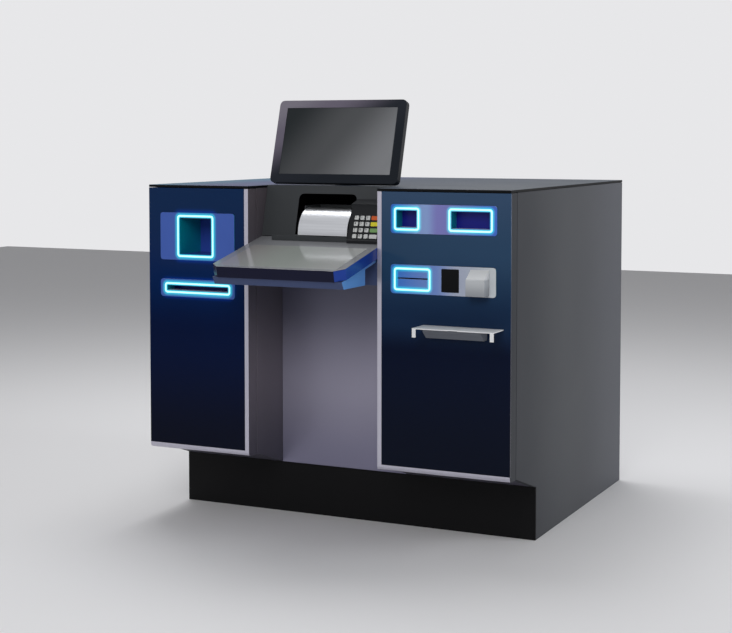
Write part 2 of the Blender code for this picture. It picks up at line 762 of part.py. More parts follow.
def scanner_hood():
    face = FRONT - BEZEL_PROUD - SEAT
    left, right, bottom, top = HOOD
    outline = (
        (face, bottom),
        (face, top),
        (face - HOOD_REACH, HOOD_BROW),
        (face - HOOD_REACH, bottom),
    )
    hood = across("scanner_hood", outline, left, right, GREY_PLASTIC)
    hollow = box(
        "hood_hollow",
        (left + HOOD_WALL, face - HOOD_REACH + HOOD_WALL, bottom - OVERRUN),
        (right - HOOD_WALL, face - HOOD_WALL, HOOD_BROW - HOOD_WALL),
    )
    return cut(hood, hollow)


def bag_shelf():
    """A thin plate with a turned-down leg at each front corner and a finger notch in its front edge."""
    back = FRONT - SEAT
    front = FRONT - SHELF_REACH
    low = (SHELF_LEFT, front, SHELF_TOP - SHELF_SHEET)
    plate = box("bag_shelf", low, (SHELF_RIGHT, back, SHELF_TOP), WHITE)
    for index, edge in enumerate((SHELF_LEFT, SHELF_RIGHT - SHELF_LEG)):
        leg = box(
            f"shelf_leg_{index + 1}",
            (edge, front, SHELF_TOP - SHELF_DROP),
            (edge + SHELF_LEG, front + SHELF_SHEET, SHELF_TOP - SHELF_SHEET / 2),
        )
        join(plate, leg)
    middle = (SHELF_LEFT + SHELF_RIGHT) / 2
    notch = box(
        "shelf_notch",
        (middle - NOTCH_WIDTH / 2, front - OVERRUN, SHELF_TOP - SHELF_SHEET - OVERRUN),
        (middle + NOTCH_WIDTH / 2, front + NOTCH_DEPTH, SHELF_TOP + OVERRUN),
    )
    return cut(plate, notch)


def shelf_bracket():
    top = SHELF_TOP - SHELF_SHEET - SEAT
    back = FRONT - SEAT
    outline = (
        (back, top),
        (back - BRACKET_REACH, top),
        (back - BRACKET_REACH, top - BRACKET_HEIGHT / 3),
        (back - BRACKET_REACH / 2, top - BRACKET_HEIGHT),
        (back, top - BRACKET_HEIGHT),
    )
    return across("shelf_bracket", outline, BRACKET_LEFT, BRACKET_RIGHT, GREY_PLASTIC)


def right_door():
    inner = BAY_RIGHT + EDGE_GAP
    frame = door_frame("right_door_frame", HALF, inner, -1)
    glass = door_glass("right_door_glass", HALF, inner, -1, (NOTE_BEZEL, CARD_BEZEL))
    note = bezel("note_module", NOTE_BEZEL)
    pocket("receipt_mouth", note, RECEIPT_MOUTH, MOUTH_DEPTH)
    pocket("note_mouth", note, NOTE_MOUTH, MOUTH_DEPTH)
    receipt_light = ring_groove("receipt_mouth_light", note, RECEIPT_RING, MOUTH_RADIUS)
    note_light = ring_groove("note_mouth_light", note, NOTE_RING, MOUTH_RADIUS)
    card = pocket("card_slot", bezel("card_module", CARD_BEZEL), CARD_SLOT, CARD_DEPTH)
    dish = facing(
        "card_dish",
        rounded(*CARD_FACE, CARD_DISH),
        FRONT - OVERRUN,
        FRONT + CARD_DISH - BEZEL_PROUD,
    )
    cut(card, dish)
    card_light = ring_groove("card_slot_light", card, CARD_RING, MOUTH_RADIUS)
    outline = rounded(*shrink(READER, -SEAT), READER_SINK)
    cut(card, facing("reader_seat", outline, FRONT - OVERRUN, FRONT + READER_SINK))
    reader = facing(
        "contactless_reader",
        rounded(*READER, READER_SINK),
        FRONT - BEZEL_PROUD - READER_PROUD,
        FRONT + READER_SINK - SEAT,
        BLACK_PAINT,
    )
    carry(
        "right_door_hinge",
        (HALF, DOOR_BACK, DOOR_BOTTOM),
        *(frame, glass, note, receipt_light, note_light, card, card_light, reader),
        *(scanner_hood(), bag_shelf(), shelf_bracket()),
    )


# Console panel, its rail, and the drum behind it
CONSOLE_SHEET = 0.003
CONSOLE_TOP_SETBACK = 0.128
CONSOLE_FOOT_SETBACK = 0.088
CONSOLE_HEIGHT = 0.162
CONSOLE_TOP_Y = FRONT + CONSOLE_TOP_SETBACK
CONSOLE_FOOT_Y = FRONT + CONSOLE_FOOT_SETBACK
CONSOLE_FOOT_Z = TOP - CONSOLE_HEIGHT
CONSOLE_SLOPE = (CONSOLE_TOP_Y - CONSOLE_FOOT_Y) / (TOP - CONSOLE_FOOT_Z)
CONSOLE_SHEET_Y = CONSOLE_SHEET * math.hypot(1, CONSOLE_SLOPE)
DESK_SLOPE = math.radians(12.4)
DESK_SIDE = SEAT
DESK_REACH = 0.245
DESK_DROP = 0.2368
DESK_FRONT_Y = FRONT - DESK_REACH
DESK_FRONT_Z = TOP - DESK_DROP
DESK_THICK = 0.035
PAD_SIDE_GAP = 0.004
PAD_WIDTH = 0.1176
PAD_RIGHT = BAY_RIGHT - PAD_SIDE_GAP
PAD_LEFT = PAD_RIGHT - PAD_WIDTH
PAD_TOP_DROP = 0.040
MOUTH_SIDE_GAP = 0.0042
MOUTH_WIDTH = 0.2076
MOUTH_DROP = 0.0255
MOUTH_RIGHT = PAD_LEFT - MOUTH_SIDE_GAP
MOUTH_LEFT = MOUTH_RIGHT - MOUTH_WIDTH
MOUTH_TOP = TOP - MOUTH_DROP
MOUTH_ROUND = 0.017
DRUM_RADIUS = 0.083
DRUM_SHEET = 0.003
DRUM_SETBACK = 0.136
DRUM_LIFT = 0.010
DRUM_Y = FRONT + DRUM_SETBACK
DRUM_Z = CONSOLE_FOOT_Z + DRUM_LIFT
DRUM_END_GAP = 0.004
CRADLE_INSET = 0.026
CRADLE_LEFT = MOUTH_LEFT + CRADLE_INSET
CRADLE_RIGHT = MOUTH_RIGHT
DRUM_LEFT = CRADLE_LEFT + DRUM_END_GAP
DRUM_RIGHT = CRADLE_RIGHT - DRUM_END_GAP
DRUM_START = math.radians(-2)
DRUM_END = math.radians(100)
DRUM_STEPS = 18
PIN_RADIUS = 0.004
PIN_GAP = 0.0003
CHEEK = 0.0025
CHEEK_RISE = 0.098
CHEEK_SETBACK = 0.222
CHEEK_DROP = 0.013
CHEEK_TOP = CONSOLE_FOOT_Z + CHEEK_RISE
CHEEK_BACK_Y = FRONT + CHEEK_SETBACK
CHEEK_FLOOR = CONSOLE_FOOT_Z - CHEEK_DROP
RAIL_INSET = 0.0606
RAIL_SETBACK = 0.0445
RAIL_LEFT = BAY_LEFT + RAIL_INSET
RAIL_Y = FRONT + RAIL_SETBACK
RAIL_DEPTH = 0.005
RAIL_HEIGHT = 0.016
RAIL_SHELF = 0.003


def desk_z(y):
    """Height of the desk's sloped top at a place from front to back."""
    return DESK_FRONT_Z + (y - DESK_FRONT_Y) * math.tan(DESK_SLOPE)


def console_y(z):
    """The console panel's front face at a height."""
    return CONSOLE_FOOT_Y + (z - CONSOLE_FOOT_Z) * CONSOLE_SLOPE


def console_panel():
    foot_z = CONSOLE_FOOT_Z
    outline = (
        (console_y(foot_z), foot_z),
        (console_y(foot_z) + CONSOLE_SHEET_Y, foot_z),
        (console_y(TOP) + CONSOLE_SHEET_Y, TOP),
        (console_y(TOP), TOP),
    )
    left = BAY_LEFT + SEAT
    right = BAY_RIGHT - SEAT
    panel = across("console_panel", outline, left, right, CHARCOAL)
    sill = foot_z + RAIL_SHELF * 2
    arch = rounded(MOUTH_LEFT, MOUTH_RIGHT, sill, MOUTH_TOP, MOUTH_ROUND)
    upper = arch[: len(arch) // 2]
    mouth = facing(
        "console_mouth",
        upper + [(MOUTH_LEFT, sill), (MOUTH_RIGHT, sill)],
        CONSOLE_FOOT_Y - PANEL_FOLD,
        CONSOLE_TOP_Y + PANEL_FOLD,
    )
    cut(panel, mouth)
    lift = 2 * SEAT
    end_y = console_y(foot_z) + CONSOLE_SHEET_Y
    rail_back = RAIL_Y + RAIL_DEPTH
    rail = (
        (RAIL_Y, desk_z(RAIL_Y) + lift),
        (end_y, desk_z(end_y) + lift),
        (end_y, foot_z + RAIL_SHELF),
        (console_y(foot_z), foot_z + RAIL_SHELF),
        (rail_back, desk_z(rail_back) + RAIL_SHELF),
        (rail_back, desk_z(RAIL_Y) + RAIL_HEIGHT),
        (RAIL_Y, desk_z(RAIL_Y) + RAIL_HEIGHT),
    )
    return join(panel, across("console_rail", rail, RAIL_LEFT, MOUTH_RIGHT))


def on_drum(radius, angle):
    return (DRUM_Y - radius * math.cos(angle), DRUM_Z + radius * math.sin(angle))


def sector(radius, start, end, steps):
    return [on_drum(radius, start + (end - start) * step / steps) for step in range(steps + 1)]


def drum_shutter():
    """A curved sheet between two end plates, which turn on the cradle's pins."""
    wedge = sector(DRUM_RADIUS, DRUM_START, DRUM_END, DRUM_STEPS)
    hub = sector(DRUM_SHEET * 4, DRUM_END, 2 * math.pi + DRUM_START, DRUM_STEPS // 3)
    drum = across("drum_shutter", wedge + hub, DRUM_LEFT, DRUM_RIGHT, STEEL)
    inside = DRUM_RADIUS - DRUM_SHEET
    margin = math.radians(10)
    hollow = sector(inside, DRUM_START - margin, DRUM_END + margin, DRUM_STEPS)
    far = sector(inside, DRUM_END + margin, 2 * math.pi + DRUM_START - margin, DRUM_STEPS)
    inner = (DRUM_LEFT + DRUM_SHEET, DRUM_RIGHT - DRUM_SHEET)
    cut(drum, across("drum_hollow", hollow + far[1:-1], *inner))
    bore = rod(
        "drum_bore",
        (DRUM_LEFT - OVERRUN, DRUM_Y, DRUM_Z),
        (DRUM_RIGHT + OVERRUN, DRUM_Y, DRUM_Z),
        PIN_RADIUS + PIN_GAP,
    )
    carry("drum_axis", ((DRUM_LEFT + DRUM_RIGHT) / 2, DRUM_Y, DRUM_Z), cut(drum, bore))


def drum_cradle():
    """Two cheeks with pins, joined by a floor and a back."""
    left = CRADLE_LEFT - CHEEK
    right = CRADLE_RIGHT + CHEEK
    behind = CONSOLE_SHEET_Y + SEAT
    outline = (
        (console_y(CONSOLE_FOOT_Z) + behind, CHEEK_FLOOR),
        (CHEEK_BACK_Y, CHEEK_FLOOR),
        (CHEEK_BACK_Y, CHEEK_TOP),
        (console_y(CHEEK_TOP) + behind, CHEEK_TOP),
        (console_y(CONSOLE_FOOT_Z) + behind, CONSOLE_FOOT_Z),
    )
    cradle = across("drum_cradle", outline, left, right, CHARCOAL)
    room = box(
        "cradle_room",
        (CRADLE_LEFT, CONSOLE_FOOT_Y - PANEL_FOLD, CHEEK_FLOOR + CHEEK),
        (CRADLE_RIGHT, CHEEK_BACK_Y - CHEEK, CHEEK_TOP + OVERRUN),
    )
    cut(cradle, room)
    inward = DRUM_END_GAP + DRUM_SHEET
    for side, edge, reach in (
        ("left", left + CHEEK / 2, CRADLE_LEFT + inward),
        ("right", right - CHEEK / 2, CRADLE_RIGHT - inward),
    ):
        start = (edge, DRUM_Y, DRUM_Z)
        join(cradle, rod(f"cradle_pin_{side}", start, (reach, DRUM_Y, DRUM_Z), PIN_RADIUS))
    return cradle


# Keypad
PAD_SETBACK = 0.034
PAD_LIP_Y = FRONT + PAD_SETBACK
PAD_LIP_TOP = 0.0155
PAD_LIP_DEPTH = 0.006
PAD_SLOPE = math.radians(18.6)
PAD_FACE_HEIGHT = 0.099
PAD_EYEBROW = 0.012
PAD_BROW_BACK = 0.004
PAD_TOP_Z = TOP - PAD_TOP_DROP
FIRST_COLUMN_INSET = 0.0237
KEY_COLUMN_PITCH = 0.0196
KEY_ROW_PITCH = 0.020
KEY_SIZE = 0.0135
KEY_HEIGHT = 0.013
FIRST_COLUMN = PAD_LEFT + FIRST_COLUMN_INSET
FIRST_ROW = 0.0675
WIDE_KEY = 0.026
WIDE_GAP = 0.005
KEY_PROUD = 0.0022
KEY_BODY = 0.0050
KEY_TRAVEL = 0.0018
KEY_GAP = 0.0004
KEY_ROUND = 0.002

PAD_FOOT_Y = PAD_LIP_Y + PAD_LIP_DEPTH
PAD_FOOT_Z = desk_z(PAD_LIP_Y) + PAD_LIP_TOP
FACE_UP = Vector((0, math.sin(PAD_SLOPE), math.cos(PAD_SLOPE)))
FACE_OUT = Vector((0, -math.cos(PAD_SLOPE), math.sin(PAD_SLOPE)))
FACE = Matrix.Translation((0, PAD_FOOT_Y, PAD_FOOT_Z)) @ Matrix(
    ((1, 0, 0, 0), (0, FACE_UP.y, FACE_OUT.y, 0), (0, FACE_UP.z, FACE_OUT.z, 0), (0, 0, 0, 1))
)


def keypad_housing():
    top = FACE @ Vector((0, PAD_FACE_HEIGHT, 0))
    brow = FACE @ Vector((0, PAD_FACE_HEIGHT + PAD_EYEBROW, PAD_BROW_BACK))
    lift = 2 * SEAT
    front = console_y(PAD_TOP_Z) - SEAT
    foot = console_y(CONSOLE_FOOT_Z + lift) - SEAT
    outline = (
        (PAD_LIP_Y, desk_z(PAD_LIP_Y) + lift),
        (foot, desk_z(foot) + lift),
        (foot, CONSOLE_FOOT_Z + lift),
        (front, PAD_TOP_Z),
        (brow.y, brow.z),
        (top.y, top.z),
        (PAD_FOOT_Y, PAD_FOOT_Z),
        (PAD_LIP_Y, PAD_FOOT_Z - PAD_FOOT_Y + PAD_LIP_Y),
    )
    return across("keypad_housing", outline, PAD_LEFT, PAD_RIGHT, CHARCOAL)


def key(name, middle, row_middle, width, material, housing):
    """A key in its well, with its origin on the line it is pushed along."""
    span = (
        middle - width / 2,
        middle + width / 2,
        row_middle - KEY_HEIGHT / 2,
        row_middle + KEY_HEIGHT / 2,
    )
    cap = prism(name, rounded(*span, KEY_ROUND), KEY_PROUD - KEY_BODY, KEY_PROUD, material, FACE)
    well_floor = KEY_PROUD - KEY_BODY - KEY_TRAVEL - SEAT
    well = prism(
        name + "_well",
        rounded(*shrink(span, -KEY_GAP), KEY_ROUND + KEY_GAP),
        well_floor,
        OVERRUN,
        None,
        FACE,
    )
    cut(housing, well)
    carry(name + "_line", FACE @ Vector((middle, row_middle, 0)), cap)


def keys(housing):
    wide_middle = FIRST_COLUMN + 2 * KEY_COLUMN_PITCH + KEY_SIZE / 2 + WIDE_GAP + WIDE_KEY / 2
    for row, (word, paint_used) in enumerate(
        (("cancel", RED), ("clear", YELLOW), ("enter", GREEN), ("blank", GREY_PLASTIC))
    ):
        row_middle = FIRST_ROW - row * KEY_ROW_PITCH
        for column in range(3):
            middle = FIRST_COLUMN + column * KEY_COLUMN_PITCH
            key(f"key_row{row + 1}_{column + 1}", middle, row_middle, KEY_SIZE, WHITE, housing)
        key(f"key_{word}", wide_middle, row_middle, WIDE_KEY, paint_used, housing)


# Desk
DESK_LEFT = BAY_LEFT + DESK_SIDE
DESK_RIGHT = BAY_RIGHT - DESK_SIDE
DESK_CHAMFER = 0.028
DESK_FLOOR = 0.005
DESK_RIM = 0.010
PAD_GLASS_SHEET = 0.003
TOUCH_SIDE = 0.0275
TOUCH_FRONT = 0.017
TOUCH_BACK = 0.012
TOUCH_ROUND = 0.003
TOUCH_LEFT = BAY_LEFT + TOUCH_SIDE
TOUCH_RIGHT = BAY_RIGHT - TOUCH_SIDE
SUPPORT_START = 0.027
SUPPORT_STOP = 0.071
SUPPORT_NECK = 0.006
SUPPORT_DROP = 0.0562
SUPPORT_STEP = 0.048
SUPPORT_INSET = 0.006
SUPPORT_FRONT_Y = DESK_FRONT_Y + SUPPORT_START
SUPPORT_BACK_Y = FRONT - SUPPORT_STOP
SUPPORT_NECK_Y = FRONT - SUPPORT_NECK
SUPPORT_BASE = DESK_FRONT_Z - SUPPORT_DROP
APRON_SETBACK = 0.010
APRON_DROP = 0.0637
APRON_SHEET = 0.003
APRON_LAP = 0.034
APRON_Y = FRONT + APRON_SETBACK
APRON_BASE = DESK_FRONT_Z - APRON_DROP
APRON_BACK_Y = TOE - APRON_LAP

DESK = Matrix.Translation((0, DESK_FRONT_Y, DESK_FRONT_Z)) @ Matrix.Rotation(DESK_SLOPE, 4, "X")
DESK_LENGTH = (CONSOLE_FOOT_Y - DESK_FRONT_Y) / math.cos(DESK_SLOPE)


def along_desk(y):
    return (y - DESK_FRONT_Y) / math.cos(DESK_SLOPE)


TOUCH_START = along_desk(DESK_FRONT_Y + TOUCH_FRONT)
TOUCH_END = along_desk(FRONT - TOUCH_BACK)


def desk_tray():
    outline = (
        (DESK_LEFT + DESK_CHAMFER, 0),
        (DESK_RIGHT - DESK_CHAMFER, 0),
        (DESK_RIGHT, DESK_CHAMFER),
        (DESK_RIGHT, DESK_LENGTH),
        (DESK_LEFT, DESK_LENGTH),
        (DESK_LEFT, DESK_CHAMFER),
    )
    tray = prism("desk_tray", outline, -DESK_THICK, 0, NAVY, DESK)
    seat = prism(
        "touch_seat",
        rounded(TOUCH_LEFT - SEAT, TOUCH_RIGHT + SEAT, TOUCH_START - SEAT, TOUCH_END + SEAT, TOUCH_ROUND),
        -PAD_GLASS_SHEET - SEAT,
        OVERRUN,
        None,
        DESK,
    )
    hollow = box(
        "desk_hollow",
        (DESK_LEFT + DESK_RIM, DESK_CHAMFER + DESK_RIM, -DESK_THICK - OVERRUN),
        (DESK_RIGHT - DESK_RIM, DESK_LENGTH - DESK_RIM, -PAD_GLASS_SHEET - DESK_FLOOR),
        None,
        DESK,
    )
    return cut(tray, seat, hollow)


def desk_glass():
    span = rounded(TOUCH_LEFT, TOUCH_RIGHT, TOUCH_START, TOUCH_END, TOUCH_ROUND)
    return prism("desk_glass", span, -PAD_GLASS_SHEET, 0, PAD_GLASS, DESK)


def desk_support():
    """The bracket under the desk and the apron that closes the bay behind it."""
    drop = DESK_THICK / math.cos(DESK_SLOPE) + 2 * SEAT

    def under(y):
        return (y, desk_z(y) - drop)

    wedge = (
        under(DESK_FRONT_Y + DESK_CHAMFER / 2),
        (SUPPORT_FRONT_Y, SUPPORT_BASE),
        (SUPPORT_BACK_Y, SUPPORT_BASE),
        (SUPPORT_BACK_Y, SUPPORT_BASE + SUPPORT_STEP),
        (APRON_Y + APRON_SHEET, desk_z(SUPPORT_NECK_Y) - drop - APRON_SHEET * 2),
        under(APRON_Y + APRON_SHEET),
    )
    left = DESK_LEFT + SUPPORT_INSET
    right = DESK_RIGHT - SUPPORT_INSET
    body = across("desk_support", wedge, left, right, NAVY)
    apron = (
        under(APRON_Y),
        (APRON_Y, APRON_BASE),
        (APRON_BACK_Y, APRON_BASE),
        (APRON_BACK_Y, APRON_BASE + APRON_SHEET),
        (APRON_Y + APRON_SHEET, APRON_BASE + APRON_SHEET),
        under(APRON_Y + APRON_SHEET),
    )
    return join(body, across("desk_apron", apron, DESK_LEFT, DESK_RIGHT))


# Door under the desk
BAY_DOOR_PROUD = 0.010
BAY_DOOR_DEPTH = 0.018
BAY_DOOR_GAP = 0.002
BAY_DOOR_FACE = TOE - BAY_DOOR_PROUD
BAY_DOOR_BASE = PLINTH_HEIGHT + BAY_DOOR_GAP
BAY_DOOR_TOP = APRON_BASE - 2 * BAY_DOOR_GAP


def centre_door():
    left = BAY_LEFT + SHUT_GAP
    right = BAY_RIGHT - SHUT_GAP
    back = BAY_DOOR_FACE + BAY_DOOR_DEPTH
    low = (left, BAY_DOOR_FACE, BAY_DOOR_BASE)
    door = box("centre_door", low, (right, back, BAY_DOOR_TOP), SATIN_PAINT)
    hollow = box(
        "centre_door_hollow",
        (left + PANEL_RIM, BAY_DOOR_FACE + SKIN, BAY_DOOR_BASE + PANEL_RIM),
        (right - PANEL_RIM, back + OVERRUN, BAY_DOOR_TOP - PANEL_RIM),
    )
    carry("centre_door_hinge", (left, BAY_DOOR_FACE, BAY_DOOR_BASE), cut(door, hollow))


# Monitor
MONITOR_WIDTH = 0.459
MONITOR_HEIGHT = 0.280
MONITOR_SHIFT = 0.0055
MONITOR_MIDDLE = BAY_MIDDLE - MONITOR_SHIFT
MONITOR_LEAN = math.radians(16.5)
MONITOR_SETBACK = 0.155
MONITOR_LIFT = 0.008
MONITOR_FOOT_Y = FRONT + MONITOR_SETBACK
MONITOR_FOOT_Z = TOP + MONITOR_LIFT
MONITOR_EDGE = 0.022
MONITOR_DEPTH = 0.045
MONITOR_INSET = 0.040
MONITOR_ROUND = 0.015
SCREEN_WIDTH = 0.3984
SCREEN_HEIGHT = 0.2241
SCREEN_BASE = 0.030
SCREEN_SHEET = 0.003
SCREEN_SINK = 0.001
PIVOT_HEIGHT = 0.120
PIVOT_BACK = 0.060
PIVOT_PIN = 0.005
BOSS_HALF = 0.030
BOSS_HEIGHT = 0.022
YOKE = 0.006
YOKE_ROUND = 0.013
POST_SETBACK = 0.115
POST_DEPTH = 0.020
POST_Y = MONITOR_FOOT_Y + POST_SETBACK
FOOT_WIDTH = 0.160
FOOT_DEPTH = 0.110
FOOT_SHEET = 0.006

LEAN = Matrix.Translation((MONITOR_MIDDLE, MONITOR_FOOT_Y, MONITOR_FOOT_Z)) @ Matrix(
    (
        (1, 0, 0, 0),
        (0, math.sin(MONITOR_LEAN), -math.cos(MONITOR_LEAN), 0),
        (0, math.cos(MONITOR_LEAN), math.sin(MONITOR_LEAN), 0),
        (0, 0, 0, 1),
    )
)
PIVOT = LEAN @ Vector((0, PIVOT_HEIGHT, -PIVOT_BACK))


def monitor():
    half = MONITOR_WIDTH / 2
    outline = rounded(-half, half, 0, MONITOR_HEIGHT, MONITOR_ROUND)
    housing = prism("monitor_housing", outline, -MONITOR_EDGE, 0, CHARCOAL, LEAN)
    inset = MONITOR_INSET
    bulge = box(
        "monitor_bulge",
        (-half + inset, inset, -MONITOR_DEPTH),
        (half - inset, MONITOR_HEIGHT - inset, -MONITOR_EDGE / 2),
        None,
        LEAN,
    )
    boss = box(
        "monitor_boss",
        (-BOSS_HALF, PIVOT_HEIGHT - BOSS_HEIGHT / 2, -PIVOT_BACK - BOSS_HEIGHT / 2),
        (BOSS_HALF, PIVOT_HEIGHT + BOSS_HEIGHT / 2, -MONITOR_DEPTH + OVERRUN),
        None,
        LEAN,
    )
    join(housing, bulge, boss)
    reach = Vector((BOSS_HALF + YOKE + OVERRUN, 0, 0))
    bore = rod("boss_bore", PIVOT - reach, PIVOT + reach, PIVOT_PIN + PIN_GAP)
    glass_half = SCREEN_WIDTH / 2
    screen_top = SCREEN_BASE + SCREEN_HEIGHT
    window = box(
        "screen_window",
        (-glass_half - SEAT, SCREEN_BASE - SEAT, -SCREEN_SINK - SCREEN_SHEET - SEAT),
        (glass_half + SEAT, screen_top + SEAT, OVERRUN),
        None,
        LEAN,
    )
    cut(housing, bore, window)
    screen = box(
        "monitor_screen",
        (-glass_half, SCREEN_BASE, -SCREEN_SINK - SCREEN_SHEET),
        (glass_half, screen_top, -SCREEN_SINK),
        SCREEN_GLASS,
        LEAN,
    )
    carry("monitor_pivot", PIVOT, housing, screen)


def monitor_mount():
    base = TOP + SEAT
    post_back = POST_Y + POST_DEPTH
    foot_front = POST_Y - POST_DEPTH
    foot = box(
        "monitor_mount",
        (MONITOR_MIDDLE - FOOT_WIDTH / 2, foot_front, base),
        (MONITOR_MIDDLE + FOOT_WIDTH / 2, foot_front + FOOT_DEPTH, base + FOOT_SHEET),
        CHARCOAL,
    )
    arm_half = BOSS_HALF + SHUT_GAP + YOKE
    post_half = arm_half + YOKE
    post = box(
        "monitor_post",
        (MONITOR_MIDDLE - post_half, POST_Y, base + FOOT_SHEET / 2),
        (MONITOR_MIDDLE + post_half, post_back, PIVOT.z + 2 * YOKE_ROUND),
    )
    join(foot, post)
    for index, side in enumerate((-1, 1)):
        edges = sorted((MONITOR_MIDDLE + side * (BOSS_HALF + SHUT_GAP), MONITOR_MIDDLE + side * arm_half))
        arc = []
        for step in range(2 * CORNER_STEPS + 1):
            angle = math.pi / 2 + math.pi * step / (2 * CORNER_STEPS)
            arc.append((PIVOT.y + YOKE_ROUND * math.cos(angle), PIVOT.z + YOKE_ROUND * math.sin(angle)))
        inside = post_back - POST_DEPTH / 2
        outline = arc + [(inside, PIVOT.z - YOKE_ROUND), (inside, PIVOT.z + YOKE_ROUND)]
        join(foot, across(f"monitor_yoke_{index + 1}", outline, *edges))
    reach = Vector((arm_half - YOKE / 2, 0, 0))
    return join(foot, rod("monitor_pin", PIVOT - reach, PIVOT + reach, PIVOT_PIN))


plinth_base()
side_panel("side_panel_left", -1)
side_panel("side_panel_right", 1)
bay_wall("left_bay_wall", -1, BAY_LEFT)
bay_wall("right_bay_wall", 1, BAY_RIGHT)
counter_top()
rear_frame()
rear_door()
safe()
recycler_head()
left_door()
right_door()
console_panel()
drum_shutter()
drum_cradle()
keys(keypad_housing())
desk_tray()
desk_glass()
desk_support()
centre_door()
monitor()
monitor_mount()
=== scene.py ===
# %% [markdown]
# # A self-service cash recycler kiosk
# The kiosk is a wide steel cabinet on a black plinth: two glass fascia doors, a middle bay with a sloped desk,
# a keypad, a steel drum and a monitor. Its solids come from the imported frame. This lesson gives each of them
# its rounded edges, its finish and its small details.

import json
import math

import bmesh
import bpy
from mathutils import Matrix, Vector


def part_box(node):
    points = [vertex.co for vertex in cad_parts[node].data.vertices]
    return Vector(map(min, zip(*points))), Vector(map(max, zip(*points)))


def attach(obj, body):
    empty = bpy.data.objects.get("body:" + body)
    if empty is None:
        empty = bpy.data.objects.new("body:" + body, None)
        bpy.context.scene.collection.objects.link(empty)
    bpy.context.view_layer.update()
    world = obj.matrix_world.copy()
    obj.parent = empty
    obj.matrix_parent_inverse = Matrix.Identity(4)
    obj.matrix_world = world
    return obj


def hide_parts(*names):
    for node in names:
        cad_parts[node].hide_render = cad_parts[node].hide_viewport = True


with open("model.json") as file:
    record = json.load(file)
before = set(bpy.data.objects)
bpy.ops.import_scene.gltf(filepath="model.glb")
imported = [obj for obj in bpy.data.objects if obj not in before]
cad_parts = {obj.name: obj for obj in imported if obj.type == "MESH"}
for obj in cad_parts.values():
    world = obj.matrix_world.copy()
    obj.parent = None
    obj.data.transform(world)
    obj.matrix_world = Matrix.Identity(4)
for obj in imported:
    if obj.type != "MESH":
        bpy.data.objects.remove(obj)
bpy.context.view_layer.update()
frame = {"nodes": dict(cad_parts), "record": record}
NODES = frame["nodes"]
BODY_OF = {}
for body_name, members in frame["record"]["behaviour"]["bodies"].items():
    for member in members:
        BODY_OF[member] = body_name

# %% [markdown]
# ## Camera
# The upright edges in the picture stay almost parallel, which is what a nearly level camera with a lowered
# lens gives. Part of the lowering is a small pitch, so that other views keep the whole kiosk in the frame.

# %% Camera
PICTURE_WIDTH = 732
SENSOR = 36.0
FOCAL_PIXELS = 1527.8
CAMERA_TURN = math.radians(25.53)
CAMERA_PITCH = math.radians(3.22)
CAMERA_SHIFT = -0.1298
CAMERA_PLACE = (2.182, -4.934, 1.261)

lens = bpy.data.cameras.new("camera")
lens.sensor_width = SENSOR
lens.lens = FOCAL_PIXELS * SENSOR / PICTURE_WIDTH
lens.shift_y = CAMERA_SHIFT
camera = bpy.data.objects.new("camera", lens)
camera.location = CAMERA_PLACE
camera.rotation_euler = (math.pi / 2 - CAMERA_PITCH, 0, CAMERA_TURN)
bpy.context.scene.collection.objects.link(camera)
bpy.context.scene.camera = camera
bpy.context.scene.view_settings.view_transform = "Standard"
print("lens", round(lens.lens, 1), "mm")

# %% [markdown]
# ## Floor and light
# A plain pale floor keeps the kiosk's shadow. The camera, gloss and glass see the world as a pale grey, and it
# lights everything else at a plain level.

# %% World
PALE = 0.80
SKY_LEVEL = 0.30


def world_light():
    world = bpy.data.worlds.new("studio")
    bpy.context.scene.world = world
    world.use_nodes = True
    nodes, links = world.node_tree.nodes, world.node_tree.links
    ground = nodes["Background"]
    ground.inputs["Color"].default_value = (PALE, PALE, PALE * 1.02, 1)
    path = nodes.new("ShaderNodeLightPath")
    last = path.outputs["Is Camera Ray"]
    for ray in ("Is Glossy Ray", "Is Transmission Ray"):
        either = nodes.new("ShaderNodeMath")
        either.operation = "MAXIMUM"
        links.new(last, either.inputs[0])
        links.new(path.outputs[ray], either.inputs[1])
        last = either.outputs[0]
    level = nodes.new("ShaderNodeMapRange")
    level.inputs["To Min"].default_value = SKY_LEVEL
    level.inputs["To Max"].default_value = 1.0
    links.new(last, level.inputs["Value"])
    links.new(level.outputs["Result"], ground.inputs["Strength"])


world_light()

# %% Floor and lamps
FLOOR_HALF = 9.0
LAMPS = (
    ("key_lamp", (1.2, -5.4, 3.4), 2.4, 110, (1.0, 0.99, 0.97)),
    ("side_lamp", (4.6, 0.6, 2.6), 2.2, 60, (0.96, 0.98, 1.0)),
    ("top_lamp", (-0.8, 0.9, 4.2), 2.6, 100, (1.0, 1.0, 1.0)),
)
AIM = Vector((0, -0.1, 0.7))


def floor():
    shape = bmesh.new()
    bmesh.ops.create_grid(shape, x_segments=1, y_segments=1, size=FLOOR_HALF)
    mesh = bpy.data.meshes.new("floor")
    shape.to_mesh(mesh)
    shape.free()
    obj = bpy.data.objects.new("floor", mesh)
    bpy.context.scene.collection.objects.link(obj)
    material = bpy.data.materials.new("pale_floor")
    material.use_nodes = True
    shader = material.node_tree.nodes["Principled BSDF"]
    shader.inputs["Base Color"].default_value = (PALE, PALE, PALE * 1.02, 1)
    shader.inputs["Roughness"].default_value = 0.65
    shader.inputs["Specular IOR Level"].default_value = 0.2
    mesh.materials.append(material)


def lamp(name, at, size, power, colour):
    light = bpy.data.lights.new(name, "AREA")
    light.size = size
    light.energy = power
    light.color = colour
    obj = bpy.data.objects.new(name, light)
    obj.location = at
    obj.rotation_euler = (AIM - Vector(at)).to_track_quat("-Z", "Y").to_euler()
    bpy.context.scene.collection.objects.link(obj)


floor()
for row in LAMPS:
    lamp(*row)
print("stage: floor and", len(LAMPS), "lamps")

